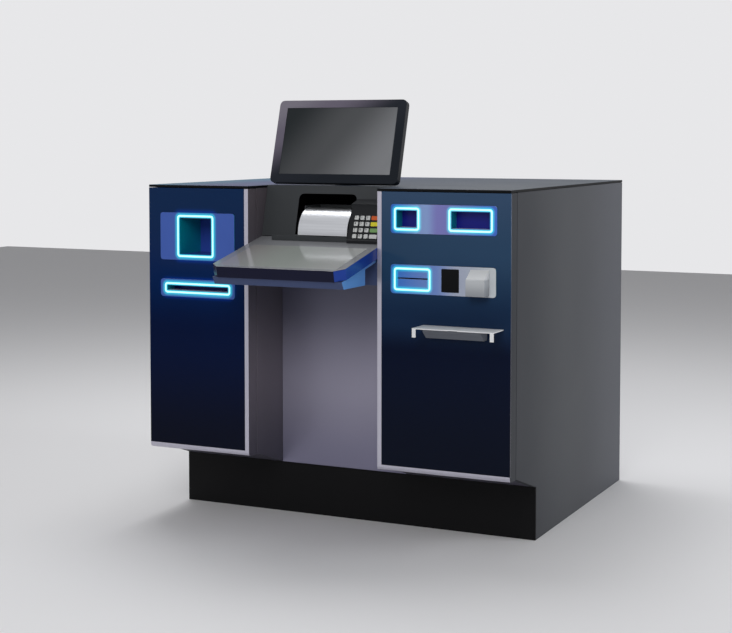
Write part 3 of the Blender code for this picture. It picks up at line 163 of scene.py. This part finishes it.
# %% [markdown]
# ## Finishes
# Real paint and plastic are never one flat colour. Each finish here starts from a colour, or from a fade along
# one axis; the fades paint light onto a large face: painted shade, painted highlights, painted reflections and
# painted glow. Each finish adds a faint cloud, an uneven gloss and a fine grain. The patterns read Object
# coordinates, so they stay on the piece when it moves.

# %% Colour and finish helpers
CLOUD_SCALE = 3.5
CLOUD_DETAIL = 5.0
GRAIN_DETAIL = 2.0
GRAIN_HEIGHT = 0.0005
SMOOTHEST = 0.85
ROUGHEST = 1.2
AXES = {"X": (1, 0, 0), "Y": (0, 1, 0), "Z": (0, 0, 1)}


def srgb(red, green, blue):
    """A colour written as it looks, from 0 to 255, as the numbers that a shader needs."""
    linear = []
    for value in (red, green, blue):
        share = value / 255
        linear.append(share / 12.92 if share <= 0.04045 else ((share + 0.055) / 1.055) ** 2.4)
    return (*linear, 1.0)


def coordinates(material, stretch=(1, 1, 1)):
    nodes, links = material.node_tree.nodes, material.node_tree.links
    place = nodes.new("ShaderNodeTexCoord")
    scaled = nodes.new("ShaderNodeMapping")
    scaled.inputs["Scale"].default_value = stretch
    links.new(place.outputs["Object"], scaled.inputs["Vector"])
    return place.outputs["Object"], scaled.outputs["Vector"]


def fade_colour(material, place, axis, stops):
    """A colour ramp along x, y, z or a slanted direction. Each stop is a place in metres and a colour."""
    nodes, links = material.node_tree.nodes, material.node_tree.links
    along = nodes.new("ShaderNodeVectorMath")
    along.operation = "DOT_PRODUCT"
    along.inputs[1].default_value = AXES.get(axis, axis)
    links.new(place, along.inputs[0])
    low, high = stops[0][0], stops[-1][0]
    span = nodes.new("ShaderNodeMapRange")
    span.inputs["From Min"].default_value = low
    span.inputs["From Max"].default_value = high
    links.new(along.outputs["Value"], span.inputs["Value"])
    ramp = nodes.new("ShaderNodeValToRGB")
    ramp.color_ramp.interpolation = "EASE"
    ramp.color_ramp.elements[0].color = stops[0][1]
    ramp.color_ramp.elements[1].color = stops[-1][1]
    for at, colour in stops[1:-1]:
        element = ramp.color_ramp.elements.new((at - low) / (high - low))
        element.color = colour
    links.new(span.outputs["Result"], ramp.inputs["Fac"])
    return ramp.outputs["Color"]


def finish(
    name,
    colour,
    rough,
    metal=0.0,
    tint=0.07,
    grain=(700, 0.03),
    stretch=(1, 1, 1),
    fade=None,
    gloss=0.5,
):
    material = bpy.data.materials.new(name)
    material.use_nodes = True
    nodes, links = material.node_tree.nodes, material.node_tree.links
    shader = nodes["Principled BSDF"]
    shader.inputs["Metallic"].default_value = metal
    shader.inputs["Specular IOR Level"].default_value = gloss
    place, scaled = coordinates(material, stretch)
    cloud = nodes.new("ShaderNodeTexNoise")
    cloud.inputs["Scale"].default_value = CLOUD_SCALE
    cloud.inputs["Detail"].default_value = CLOUD_DETAIL
    links.new(scaled, cloud.inputs["Vector"])
    shade = nodes.new("ShaderNodeMapRange")
    shade.inputs["To Min"].default_value = 1 - tint
    shade.inputs["To Max"].default_value = 1 + tint
    links.new(cloud.outputs["Fac"], shade.inputs["Value"])
    tinted = nodes.new("ShaderNodeVectorMath")
    tinted.operation = "SCALE"
    links.new(shade.outputs["Result"], tinted.inputs["Scale"])
    if fade:
        links.new(fade_colour(material, place, *fade), tinted.inputs[0])
    else:
        tinted.inputs[0].default_value = colour[:3]
    links.new(tinted.outputs[0], shader.inputs["Base Color"])
    sheen = nodes.new("ShaderNodeMapRange")
    sheen.inputs["To Min"].default_value = rough * SMOOTHEST
    sheen.inputs["To Max"].default_value = min(1.0, rough * ROUGHEST)
    links.new(cloud.outputs["Fac"], sheen.inputs["Value"])
    links.new(sheen.outputs["Result"], shader.inputs["Roughness"])
    fine = nodes.new("ShaderNodeTexNoise")
    fine.inputs["Scale"].default_value = grain[0]
    fine.inputs["Detail"].default_value = GRAIN_DETAIL
    links.new(scaled, fine.inputs["Vector"])
    bump = nodes.new("ShaderNodeBump")
    bump.inputs["Strength"].default_value = grain[1]
    bump.inputs["Distance"].default_value = GRAIN_HEIGHT
    links.new(fine.outputs["Fac"], bump.inputs["Height"])
    links.new(bump.outputs["Normal"], shader.inputs["Normal"])
    return material


# %% [markdown]
# The lit rings spill a teal glow onto the bezels and the glass around them. The glow is worked out from the
# distance to each ring's rectangle, fading to nothing over a few centimetres.

# %% Glow helper
RING_WIDTH = 0.0069
RING_CORNER = 0.007


def line_distance(material, low, high, width):
    """Distance in the x-z plane from the middle line of a ring that lies between two corners."""
    nodes, links = material.node_tree.nodes, material.node_tree.links
    place = nodes.new("ShaderNodeTexCoord")
    split = nodes.new("ShaderNodeSeparateXYZ")
    links.new(place.outputs["Object"], split.inputs[0])

    def work(operation, *values):
        step = nodes.new("ShaderNodeMath")
        step.operation = operation
        for socket, value in zip(step.inputs, values):
            if isinstance(value, (int, float)):
                socket.default_value = value
            else:
                links.new(value, socket)
        return step.outputs[0]

    past = []
    for index in (0, 2):
        middle = (low[index] + high[index]) / 2
        half = (high[index] - low[index]) / 2 - width / 2 - RING_CORNER
        past.append(work("SUBTRACT", work("ABSOLUTE", work("SUBTRACT", split.outputs[index], middle)), half))
    squares = [work("POWER", work("MAXIMUM", value, 0.0), 2.0) for value in past]
    outside = work("SQRT", work("ADD", *squares))
    inside = work("MINIMUM", work("MAXIMUM", *past), 0.0)
    return work("ABSOLUTE", work("SUBTRACT", work("ADD", outside, inside), RING_CORNER))


def halo(material, rings, reach, colour, level):
    nodes, links = material.node_tree.nodes, material.node_tree.links
    shader = nodes["Principled BSDF"]
    total = None
    for low, high in rings:
        near = nodes.new("ShaderNodeMapRange")
        near.interpolation_type = "SMOOTHERSTEP"
        near.inputs["From Min"].default_value = reach
        near.inputs["From Max"].default_value = RING_WIDTH / 2
        links.new(line_distance(material, low, high, RING_WIDTH), near.inputs["Value"])
        if total is None:
            total = near.outputs["Result"]
        else:
            join = nodes.new("ShaderNodeMath")
            join.operation = "ADD"
            links.new(total, join.inputs[0])
            links.new(near.outputs["Result"], join.inputs[1])
            total = join.outputs[0]
    glow = nodes.new("ShaderNodeVectorMath")
    glow.operation = "SCALE"
    glow.inputs[0].default_value = [part * level for part in colour[:3]]
    links.new(total, glow.inputs["Scale"])
    links.new(glow.outputs[0], shader.inputs["Emission Color"])
    shader.inputs["Emission Strength"].default_value = 1.0


LIGHTS = {name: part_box(name) for name in NODES if name.endswith("_light")}
TEAL = srgb(0, 196, 200)
print("rings:", sorted(LIGHTS))

# %% Finishes of the kiosk
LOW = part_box("left_door_glass")[0][2]
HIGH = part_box("left_door_glass")[1][2]
BAY_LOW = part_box("centre_door")[0][2]
BAY_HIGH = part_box("centre_door")[1][2]
PANEL_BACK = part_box("side_panel_right")[1][1]
PANEL_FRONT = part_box("side_panel_right")[0][1]

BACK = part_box("counter_top")[1][1]
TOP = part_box("counter_top")[1][2]
black_paint = finish("black_powder_coat", srgb(5, 5, 7), 0.55, grain=(900, 0.05), gloss=0.15)
slab_edge = finish("slab_edge", srgb(7, 8, 11), 0.5, grain=(900, 0.03), gloss=0.1)
# The slab's top is dark glossy laminate; its grey fade along x, bluer at the left end, is a painted reflection.
slab_top_with_reflection = finish(
    "slab_laminate_painted_reflection",
    srgb(60, 66, 76),
    0.55,
    grain=(1200, 0.06),
    fade=(
        "X",
        (
            (-0.633, srgb(58, 92, 112)),
            (-0.35, srgb(66, 72, 104)),
            (0.0, srgb(58, 66, 78)),
            (0.633, srgb(64, 70, 78)),
        ),
    ),
    gloss=0.12,
)
# The fade along y is painted shade: the panels grow darker towards the front and lighter towards the back.
side_paint_with_shade = finish(
    "side_powder_coat_painted_shade",
    srgb(78, 80, 84),
    0.6,
    grain=(1400, 0.10),
    fade=(
        "Y",
        (
            (PANEL_FRONT, srgb(62, 64, 69)),
            (-0.1, srgb(84, 86, 90)),
            (PANEL_BACK, srgb(98, 100, 106)),
        ),
    ),
    gloss=0.2,
)
edge_paint = finish("door_edge_paint", srgb(44, 47, 53), 0.5, grain=(1200, 0.06), gloss=0.2)
# The fade along z is painted light on the bay walls: brightest at mid height, darker at the bottom and towards
# the top.
bay_paint_with_painted_light = finish(
    "bay_satin",
    srgb(86, 86, 96),
    0.45,
    fade=(
        "Z",
        (
            (BAY_LOW, srgb(82, 80, 92)),
            (0.5, srgb(118, 112, 122)),
            (BAY_HIGH, srgb(98, 94, 104)),
            (TOP, srgb(84, 78, 84)),
        ),
    ),
    gloss=0.25,
)
# The fade along z is a painted sheen: a lighter band at about 0.45 m, darker above and below.
door_paint_with_sheen = finish(
    "lilac_satin_painted_sheen",
    srgb(110, 110, 126),
    0.38,
    metal=0.3,
    fade=(
        "Z",
        (
            (BAY_LOW, srgb(124, 122, 146)),
            (0.45, srgb(150, 147, 166)),
            (BAY_HIGH, srgb(96, 96, 116)),
        ),
    ),
)
trim_metal = finish(
    "anodised_trim",
    srgb(196, 194, 208),
    0.3,
    metal=0.7,
    stretch=(40, 40, 1),
    grain=(60, 0.05),
)
steel = finish(
    "brushed_steel",
    srgb(196, 198, 202),
    0.3,
    metal=1.0,
    tint=0.16,
    stretch=(1, 60, 60),
    grain=(30, 0.12),
)
# The fades along z are painted reflections on the glass: dark at the bottom, lighter and greyer towards the
# top.
left_glass_with_reflection = finish(
    "blue_glass_left_painted_reflection",
    srgb(4, 30, 70),
    0.10,
    grain=(300, 0.0),
    fade=(
        "Z",
        (
            (LOW, srgb(0, 6, 30)),
            (0.62, srgb(0, 18, 58)),
            (0.80, srgb(0, 34, 84)),
            (HIGH, srgb(4, 40, 82)),
        ),
    ),
    gloss=0.1,
)
right_glass_with_reflection = finish(
    "blue_glass_right_painted_reflection",
    srgb(4, 30, 70),
    0.10,
    grain=(300, 0.0),
    fade=(
        "Z",
        (
            (LOW, srgb(0, 8, 30)),
            (0.60, srgb(0, 12, 40)),
            (0.70, srgb(20, 42, 72)),
            (0.92, srgb(42, 70, 100)),
            (HIGH, srgb(54, 78, 108)),
        ),
    ),
    gloss=0.1,
)
left_bezel = finish("blue_bezel", srgb(66, 98, 184), 0.28, tint=0.05, grain=(400, 0.02), gloss=0.3)
card_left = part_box("card_module")[0][0]
card_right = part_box("card_module")[1][0]
# The fade along x is painted light: a blue glow at the left, where the ring's light falls, and a pale painted
# highlight towards the right end.
right_bezel_glow_and_highlight = finish(
    "pale_bezel_painted_glow_and_highlight",
    srgb(150, 165, 215),
    0.28,
    tint=0.04,
    grain=(400, 0.02),
    fade=(
        "X",
        (
            (card_left, srgb(60, 120, 205)),
            (0.385, srgb(110, 140, 205)),
            (0.47, srgb(172, 180, 200)),
            (card_right, srgb(200, 206, 210)),
        ),
    ),
    gloss=0.3,
)
# The fade along x is painted light: a blue glow at both ends near the rings and a lighter painted highlight
# band near x = 0.36 m.
upper_bezel_glow_and_highlight = finish(
    "lilac_bezel_painted_glow_and_highlight",
    srgb(140, 155, 212),
    0.28,
    tint=0.05,
    grain=(400, 0.02),
    fade=(
        "X",
        (
            (card_left, srgb(50, 110, 205)),
            (0.36, srgb(140, 166, 218)),
            (0.40, srgb(128, 128, 196)),
            (card_right, srgb(70, 110, 205)),
        ),
    ),
    gloss=0.3,
)
charcoal = finish("charcoal_grain", srgb(58, 61, 64), 0.5, grain=(1100, 0.12), gloss=0.2)
dark_plastic = finish("dark_housing", srgb(18, 20, 24), 0.4, grain=(900, 0.06), gloss=0.2)
monitor_black = finish("monitor_black", srgb(14, 19, 27), 0.3, grain=(900, 0.03), gloss=0.15)
# The slanted fade is a painted reflection on the monitor's front: dark low down, lilac-grey towards the top.
monitor_face_painted_reflection = finish(
    "monitor_face_painted_reflection",
    srgb(20, 27, 36),
    0.3,
    grain=(900, 0.03),
    fade=(
        (-0.5, 0.0, 0.87),
        (
            (1.00, srgb(16, 23, 32)),
            (1.10, srgb(28, 33, 42)),
            (1.22, srgb(112, 106, 122)),
            (1.30, srgb(132, 128, 140)),
        ),
    ),
    gloss=0.15,
)
# The slanted fade is a painted reflection on the screen glass: dark at one corner, pale grey across the rest.
screen_glass = finish(
    "screen_glass",
    srgb(90, 93, 96),
    0.12,
    tint=0.02,
    grain=(300, 0.0),
    fade=(
        (0.79, 0.0, -0.61),
        (
            (-0.98, srgb(40, 45, 48)),
            (-0.80, srgb(86, 88, 91)),
            (-0.60, srgb(140, 142, 146)),
            (-0.50, srgb(168, 170, 175)),
        ),
    ),
    gloss=0.1,
)
# The fade along x is a painted reflection on the pad, a little lighter towards +x.
pad_glass = finish(
    "pad_glass",
    srgb(140, 145, 140),
    0.12,
    tint=0.03,
    grain=(300, 0.0),
    fade=(
        "X",
        (
            (-0.25, srgb(134, 132, 132)),
            (-0.05, srgb(140, 146, 142)),
            (0.19, srgb(158, 160, 160)),
        ),
    ),
    gloss=0.25,
)
reader_black = finish("reader_black", srgb(4, 5, 8), 0.15, grain=(300, 0.0), gloss=0.15)
# The fade along z is painted light: the sloped top is near white and the front face below is darker grey.
hood_grey = finish(
    "hood_grey",
    srgb(205, 210, 214),
    0.35,
    tint=0.04,
    fade=(
        "Z",
        (
            (0.785, srgb(150, 154, 160)),
            (0.832, srgb(190, 194, 198)),
            (0.838, srgb(236, 238, 240)),
            (0.862, srgb(228, 230, 232)),
        ),
    ),
    gloss=0.3,
)
bracket_grey = finish("bracket_grey", srgb(112, 116, 124), 0.45, gloss=0.3)
shelf_white = finish("shelf_white", srgb(236, 238, 240), 0.35, tint=0.03)
navy = finish("navy_gloss", srgb(5, 8, 40), 0.2, grain=(500, 0.01), gloss=0.2)
# navy_lit and support_lit are lit copies of navy and support_blue: painted light for the faces that turn
# towards +x.
navy_lit = finish("navy_lit", srgb(28, 62, 150), 0.25, grain=(500, 0.01), gloss=0.2)
support_blue = finish("support_blue", srgb(64, 76, 112), 0.35, gloss=0.2)
support_lit = finish("support_lit", srgb(96, 148, 216), 0.35, gloss=0.2)
desk_top = finish("desk_top", srgb(122, 124, 128), 0.22, grain=(500, 0.02), gloss=0.3)
module_plastic = finish("module_plastic", srgb(70, 73, 79), 0.5)
safe_paint = finish("safe_paint", srgb(96, 99, 103), 0.5, metal=0.2, grain=(900, 0.10))
key_cap = finish("key_cap", srgb(206, 208, 208), 0.35, tint=0.04, gloss=0.3)
ink = finish("ink", srgb(22, 24, 30), 0.5)
red_cap = finish("red_cap", srgb(206, 92, 40), 0.35, gloss=0.3)
yellow_cap = finish("yellow_cap", srgb(222, 212, 52), 0.35, gloss=0.3)
green_cap = finish("green_cap", srgb(118, 158, 100), 0.35, gloss=0.3)
right_rings = [LIGHTS[name] for name in ("receipt_mouth_light", "note_mouth_light", "card_slot_light")]
left_rings = [LIGHTS["cash_pocket_light"], LIGHTS["deposit_slot_light"]]
halo(left_bezel, left_rings, 0.016, TEAL, 0.62)
halo(right_bezel_glow_and_highlight, right_rings, 0.013, TEAL, 0.55)
halo(upper_bezel_glow_and_highlight, right_rings, 0.013, TEAL, 0.55)
halo(left_glass_with_reflection, left_rings, 0.030, srgb(0, 60, 190), 0.35)
halo(right_glass_with_reflection, right_rings, 0.016, srgb(0, 90, 200), 0.30)
print("finishes:", len(bpy.data.materials))

# %% [markdown]
# ## Dressing the solids
# A folded steel sheet or a moulded cover never has knife edges. A copy of each solid has its loose triangles
# merged, its flat faces joined again, and its outer edges rounded with a small bevel, so that they catch light.
# The copy then stands for the solid and rides on the same body.

# %% Dress helper
MERGE = 1e-5
FLAT_ANGLE = math.radians(0.5)
SHARP_ANGLE = math.radians(28)
ROUND_STEPS = 2


LEAST_VOLUME = 0.9
MOST_VOLUME = 1.0005
MOST_AREA = 1.002


def area_of(shape):
    return sum(face.calc_area() for face in shape.faces)


def is_outer(edge):
    return len(edge.link_faces) == 2 and edge.is_convex and edge.calc_face_angle(0) > SHARP_ANGLE


def finish_piece(name, shape, material, body, smooth=SHARP_ANGLE):
    """Makes a piece of a mesh: shaded smooth up to an angle, with one finish, riding on a body."""
    for face in shape.faces:
        face.smooth = True
    for edge in shape.edges:
        edge.smooth = len(edge.link_faces) == 2 and edge.calc_face_angle(0) < smooth
    mesh = bpy.data.meshes.new(name)
    shape.to_mesh(mesh)
    shape.free()
    obj = bpy.data.objects.new(name, mesh)
    bpy.context.scene.collection.objects.link(obj)
    mesh.materials.append(material)
    even = obj.modifiers.new("even_shading", "WEIGHTED_NORMAL")
    even.keep_sharp = True
    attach(obj, body)
    return obj


def dress(node, width, material, steps=ROUND_STEPS):
    """Stands for a node with a copy whose outer edges are rounded, where that keeps its shape."""
    shape = bmesh.new()
    shape.from_mesh(NODES[node].data)
    bmesh.ops.remove_doubles(shape, verts=shape.verts, dist=MERGE)
    bmesh.ops.join_triangles(
        shape, faces=shape.faces, angle_face_threshold=FLAT_ANGLE, angle_shape_threshold=math.pi
    )
    before = shape.calc_volume()
    skin = area_of(shape)
    spare = shape.copy()
    edges = [edge for edge in shape.edges if is_outer(edge)]
    if width and edges:
        bmesh.ops.bevel(
            shape,
            geom=edges,
            offset=width,
            offset_type="OFFSET",
            segments=steps,
            profile=0.5,
            affect="EDGES",
            clamp_overlap=True,
            material=-1,
        )
    after = shape.calc_volume()
    kept = before * LEAST_VOLUME < after <= before * MOST_VOLUME and area_of(shape) < skin * MOST_AREA
    if not kept:
        shape.free()
        shape = spare
    else:
        spare.free()
    bmesh.ops.triangulate(shape, faces=[face for face in shape.faces if len(face.verts) > 4])
    obj = finish_piece(node + "_dressed", shape, material, BODY_OF[node])
    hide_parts(node)
    return obj, kept


DRESSED = {
    "plinth_base": (0.0015, black_paint),
    "side_panel_left": (0.0018, side_paint_with_shade),
    "side_panel_right": (0.0018, side_paint_with_shade),
    "left_bay_wall": (0.0, bay_paint_with_painted_light),
    "right_bay_wall": (0.0, bay_paint_with_painted_light),
    "counter_top": (0.0012, slab_top_with_reflection),
    "rear_frame": (0.001, side_paint_with_shade),
    "rear_door": (0.002, side_paint_with_shade),
    "left_door_frame": (0.0008, trim_metal),
    "left_door_glass": (0.0008, left_glass_with_reflection),
    "right_door_frame": (0.0008, trim_metal),
    "right_door_glass": (0.0008, right_glass_with_reflection),
    "cash_pocket": (0.0005, left_bezel),
    "deposit_slot": (0.0005, left_bezel),
    "note_module": (0.0005, upper_bezel_glow_and_highlight),
    "card_module": (0.0005, right_bezel_glow_and_highlight),
    "cash_shutter": (0.0006, charcoal),
    "contactless_reader": (0.0006, reader_black),
    "scanner_hood": (0.003, hood_grey),
    "bag_shelf": (0.0008, shelf_white),
    "shelf_bracket": (0.001, bracket_grey),
    "console_panel": (0.0006, charcoal),
    "drum_shutter": (0.0006, steel),
    "drum_cradle": (0.0005, charcoal),
    "keypad_housing": (0.0010, dark_plastic),
    "desk_tray": (0.0020, navy),
    "desk_support": (0.0010, support_blue),
    "centre_door": (0.0016, door_paint_with_sheen),
    "monitor_housing": (0.0025, monitor_black),
    "monitor_mount": (0.0010, monitor_black),
    "safe_body": (0.0015, safe_paint),
    "safe_door": (0.0020, safe_paint),
    "safe_handle": (0.0020, steel),
    "recycler_head": (0.0008, module_plastic),
    "cassette_1": (0.0015, module_plastic),
    "cassette_2": (0.0015, module_plastic),
    "cassette_3": (0.0015, module_plastic),
    "desk_glass": (0.0010, pad_glass),
    "monitor_screen": (0.0, screen_glass),
}
CAPS = {"cancel": red_cap, "clear": yellow_cap, "enter": green_cap}
KEY_ROUNDING = 0.0008
KEYS = [node for node in NODES if node.startswith("key_")]
for node in KEYS:
    DRESSED[node] = (KEY_ROUNDING, CAPS.get(node.split("_")[1], key_cap))
PIECES = {}
for node, (width, material) in DRESSED.items():
    PIECES[node], kept = dress(node, width, material)
    if not kept:
        print("edges left plain:", node)
print("dressed:", len(PIECES), "solids")

# %% [markdown]
# ## Light rings
# Each ring is a light guide: almost white along its middle and teal at its two edges. The colour is worked out
# from the distance to the ring's middle line, a rectangle with round corners, so it holds from every side.

# %% Light rings
CORE = srgb(225, 255, 252)
RING_EDGE = srgb(0, 170, 165)
RING_EDGE_WIDTH = 0.0015
CORE_SHARE = 0.32
RING_LEVEL = 0.95


def ring_finish(node):
    low, high = LIGHTS[node]
    material = finish(node + "_glow", srgb(120, 240, 235), 0.4, tint=0.02)
    nodes, links = material.node_tree.nodes, material.node_tree.links
    shader = nodes["Principled BSDF"]
    distance = line_distance(material, low, high, RING_WIDTH)
    share = nodes.new("ShaderNodeMapRange")
    share.inputs["From Max"].default_value = RING_WIDTH / 2
    links.new(distance, share.inputs["Value"])
    ramp = nodes.new("ShaderNodeValToRGB")
    ramp.color_ramp.elements[0].color = CORE
    ramp.color_ramp.elements[0].position = CORE_SHARE
    ramp.color_ramp.elements[1].color = RING_EDGE
    links.new(share.outputs["Result"], ramp.inputs["Fac"])
    links.new(ramp.outputs["Color"], shader.inputs["Emission Color"])
    shader.inputs["Emission Strength"].default_value = RING_LEVEL
    return material


for node in LIGHTS:
    PIECES[node], kept = dress(node, RING_EDGE_WIDTH, ring_finish(node))
print("rings lit:", len(LIGHTS))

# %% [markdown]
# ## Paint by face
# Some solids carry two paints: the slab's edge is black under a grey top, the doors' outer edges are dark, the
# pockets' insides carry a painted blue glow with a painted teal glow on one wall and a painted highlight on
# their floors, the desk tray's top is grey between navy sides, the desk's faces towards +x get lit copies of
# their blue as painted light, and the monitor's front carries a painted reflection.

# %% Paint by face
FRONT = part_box("left_door_frame")[0][1]
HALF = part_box("side_panel_right")[1][0]
INSIDE = 0.004
MOSTLY = 0.7
PARTLY = 0.6
BAY_SIDE = -0.3


def paint(node, material, choose):
    """Gives a second finish to the faces of a piece that a rule picks by middle and direction."""
    mesh = PIECES[node].data
    mesh.materials.append(material)
    index = len(mesh.materials) - 1
    for face in mesh.polygons:
        if choose(face.center, face.normal):
            face.material_index = index


# The pockets' insides are painted light: a blue glow on the inner faces, a teal glow on the walls that face +x
# and a white painted highlight on the floors that face up.
pocket_painted_blue_glow = finish("pocket_painted_blue_glow", srgb(50, 78, 172), 0.3, tint=0.03, grain=(500, 0.01), gloss=0.2)
pocket_painted_teal_glow = finish("pocket_painted_teal_glow", srgb(0, 150, 170), 0.3, tint=0.03, grain=(500, 0.01), gloss=0.2)
mouth_painted_blue_glow = finish("mouth_painted_blue_glow", srgb(24, 30, 132), 0.3, tint=0.03, grain=(500, 0.01), gloss=0.2)
lip_painted_highlight = finish("lip_painted_highlight", srgb(222, 226, 240), 0.3, tint=0.03, grain=(500, 0.01), gloss=0.3)
paint("counter_top", slab_edge, lambda place, way: way.z < PARTLY)
for node, side in (("left_door_frame", -1), ("right_door_frame", 1)):
    paint(
        node,
        edge_paint,
        lambda place, way, side=side: way.x * side > MOSTLY and abs(place.x) > HALF - INSIDE,
    )
paint("left_door_frame", bay_paint_with_painted_light, lambda place, way: way.x > MOSTLY and place.x > BAY_SIDE)
paint("cash_pocket", pocket_painted_blue_glow, lambda place, way: place.y > FRONT + INSIDE)
paint("cash_pocket", pocket_painted_teal_glow, lambda place, way: place.y > FRONT + INSIDE and way.x > MOSTLY)
for node in ("note_module", "card_module", "deposit_slot"):
    paint(node, mouth_painted_blue_glow, lambda place, way: place.y > FRONT + INSIDE)
    paint(node, pocket_painted_teal_glow, lambda place, way: place.y > FRONT + INSIDE and way.x > MOSTLY)
    paint(node, lip_painted_highlight, lambda place, way: place.y > FRONT + INSIDE and way.z > MOSTLY)
paint("desk_tray", desk_top, lambda place, way: way.z > PARTLY)
# Painted light: the faces of the desk tray and its support that turn towards +x get the lit copies of their
# blue.
paint("desk_tray", navy_lit, lambda place, way: way.x > MOSTLY)
paint("desk_support", support_lit, lambda place, way: way.x > MOSTLY)
paint("monitor_housing", monitor_face_painted_reflection, lambda place, way: way.y < -PARTLY)
print("faces painted on", sum(len(piece.data.materials) > 1 for piece in PIECES.values()), "pieces")

# %% [markdown]
# ## Keypad details
# The number keys carry plain digits. Each is a flat letter mesh, 0.2 mm thick, that rides on its own key.

# %% Keypad details
DIGIT_SIZE = 0.011
DIGIT_DEPTH = 0.0002
ROWS = (("1", "2", "3"), ("4", "5", "6"), ("7", "8", "9"), ("", "0", ""))


def digit(sign, node):
    low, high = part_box(node)
    curve = bpy.data.curves.new("sign", "FONT")
    curve.body = sign
    curve.size = DIGIT_SIZE
    curve.extrude = DIGIT_DEPTH / 2
    curve.align_x = "CENTER"
    curve.align_y = "CENTER"
    source = bpy.data.objects.new("sign", curve)
    bpy.context.scene.collection.objects.link(source)
    bpy.context.view_layer.update()
    mesh = bpy.data.meshes.new_from_object(source.evaluated_get(bpy.context.evaluated_depsgraph_get()))
    bpy.data.objects.remove(source)
    shape = bmesh.new()
    shape.from_mesh(mesh)
    bmesh.ops.remove_doubles(shape, verts=shape.verts, dist=MERGE)
    top = max(NODES[node].data.polygons, key=lambda face: face.area * (face.normal.z - face.normal.y > 0.7))
    way = top.normal.copy()
    tilt = way.to_track_quat("Z", "Y").to_matrix().to_4x4()
    middle = top.center + way * DIGIT_DEPTH
    bmesh.ops.transform(shape, matrix=Matrix.Translation(middle) @ tilt, verts=shape.verts)
    bmesh.ops.recalc_face_normals(shape, faces=shape.faces)
    return finish_piece("digit_" + sign, shape, ink, BODY_OF[node])


DIGITS = []
for row, signs in enumerate(ROWS):
    for column, sign in enumerate(signs):
        node = f"key_row{row + 1}_{column + 1}"
        if sign and node in NODES:
            DIGITS.append(digit(sign, node))
print("digits:", len(DIGITS))
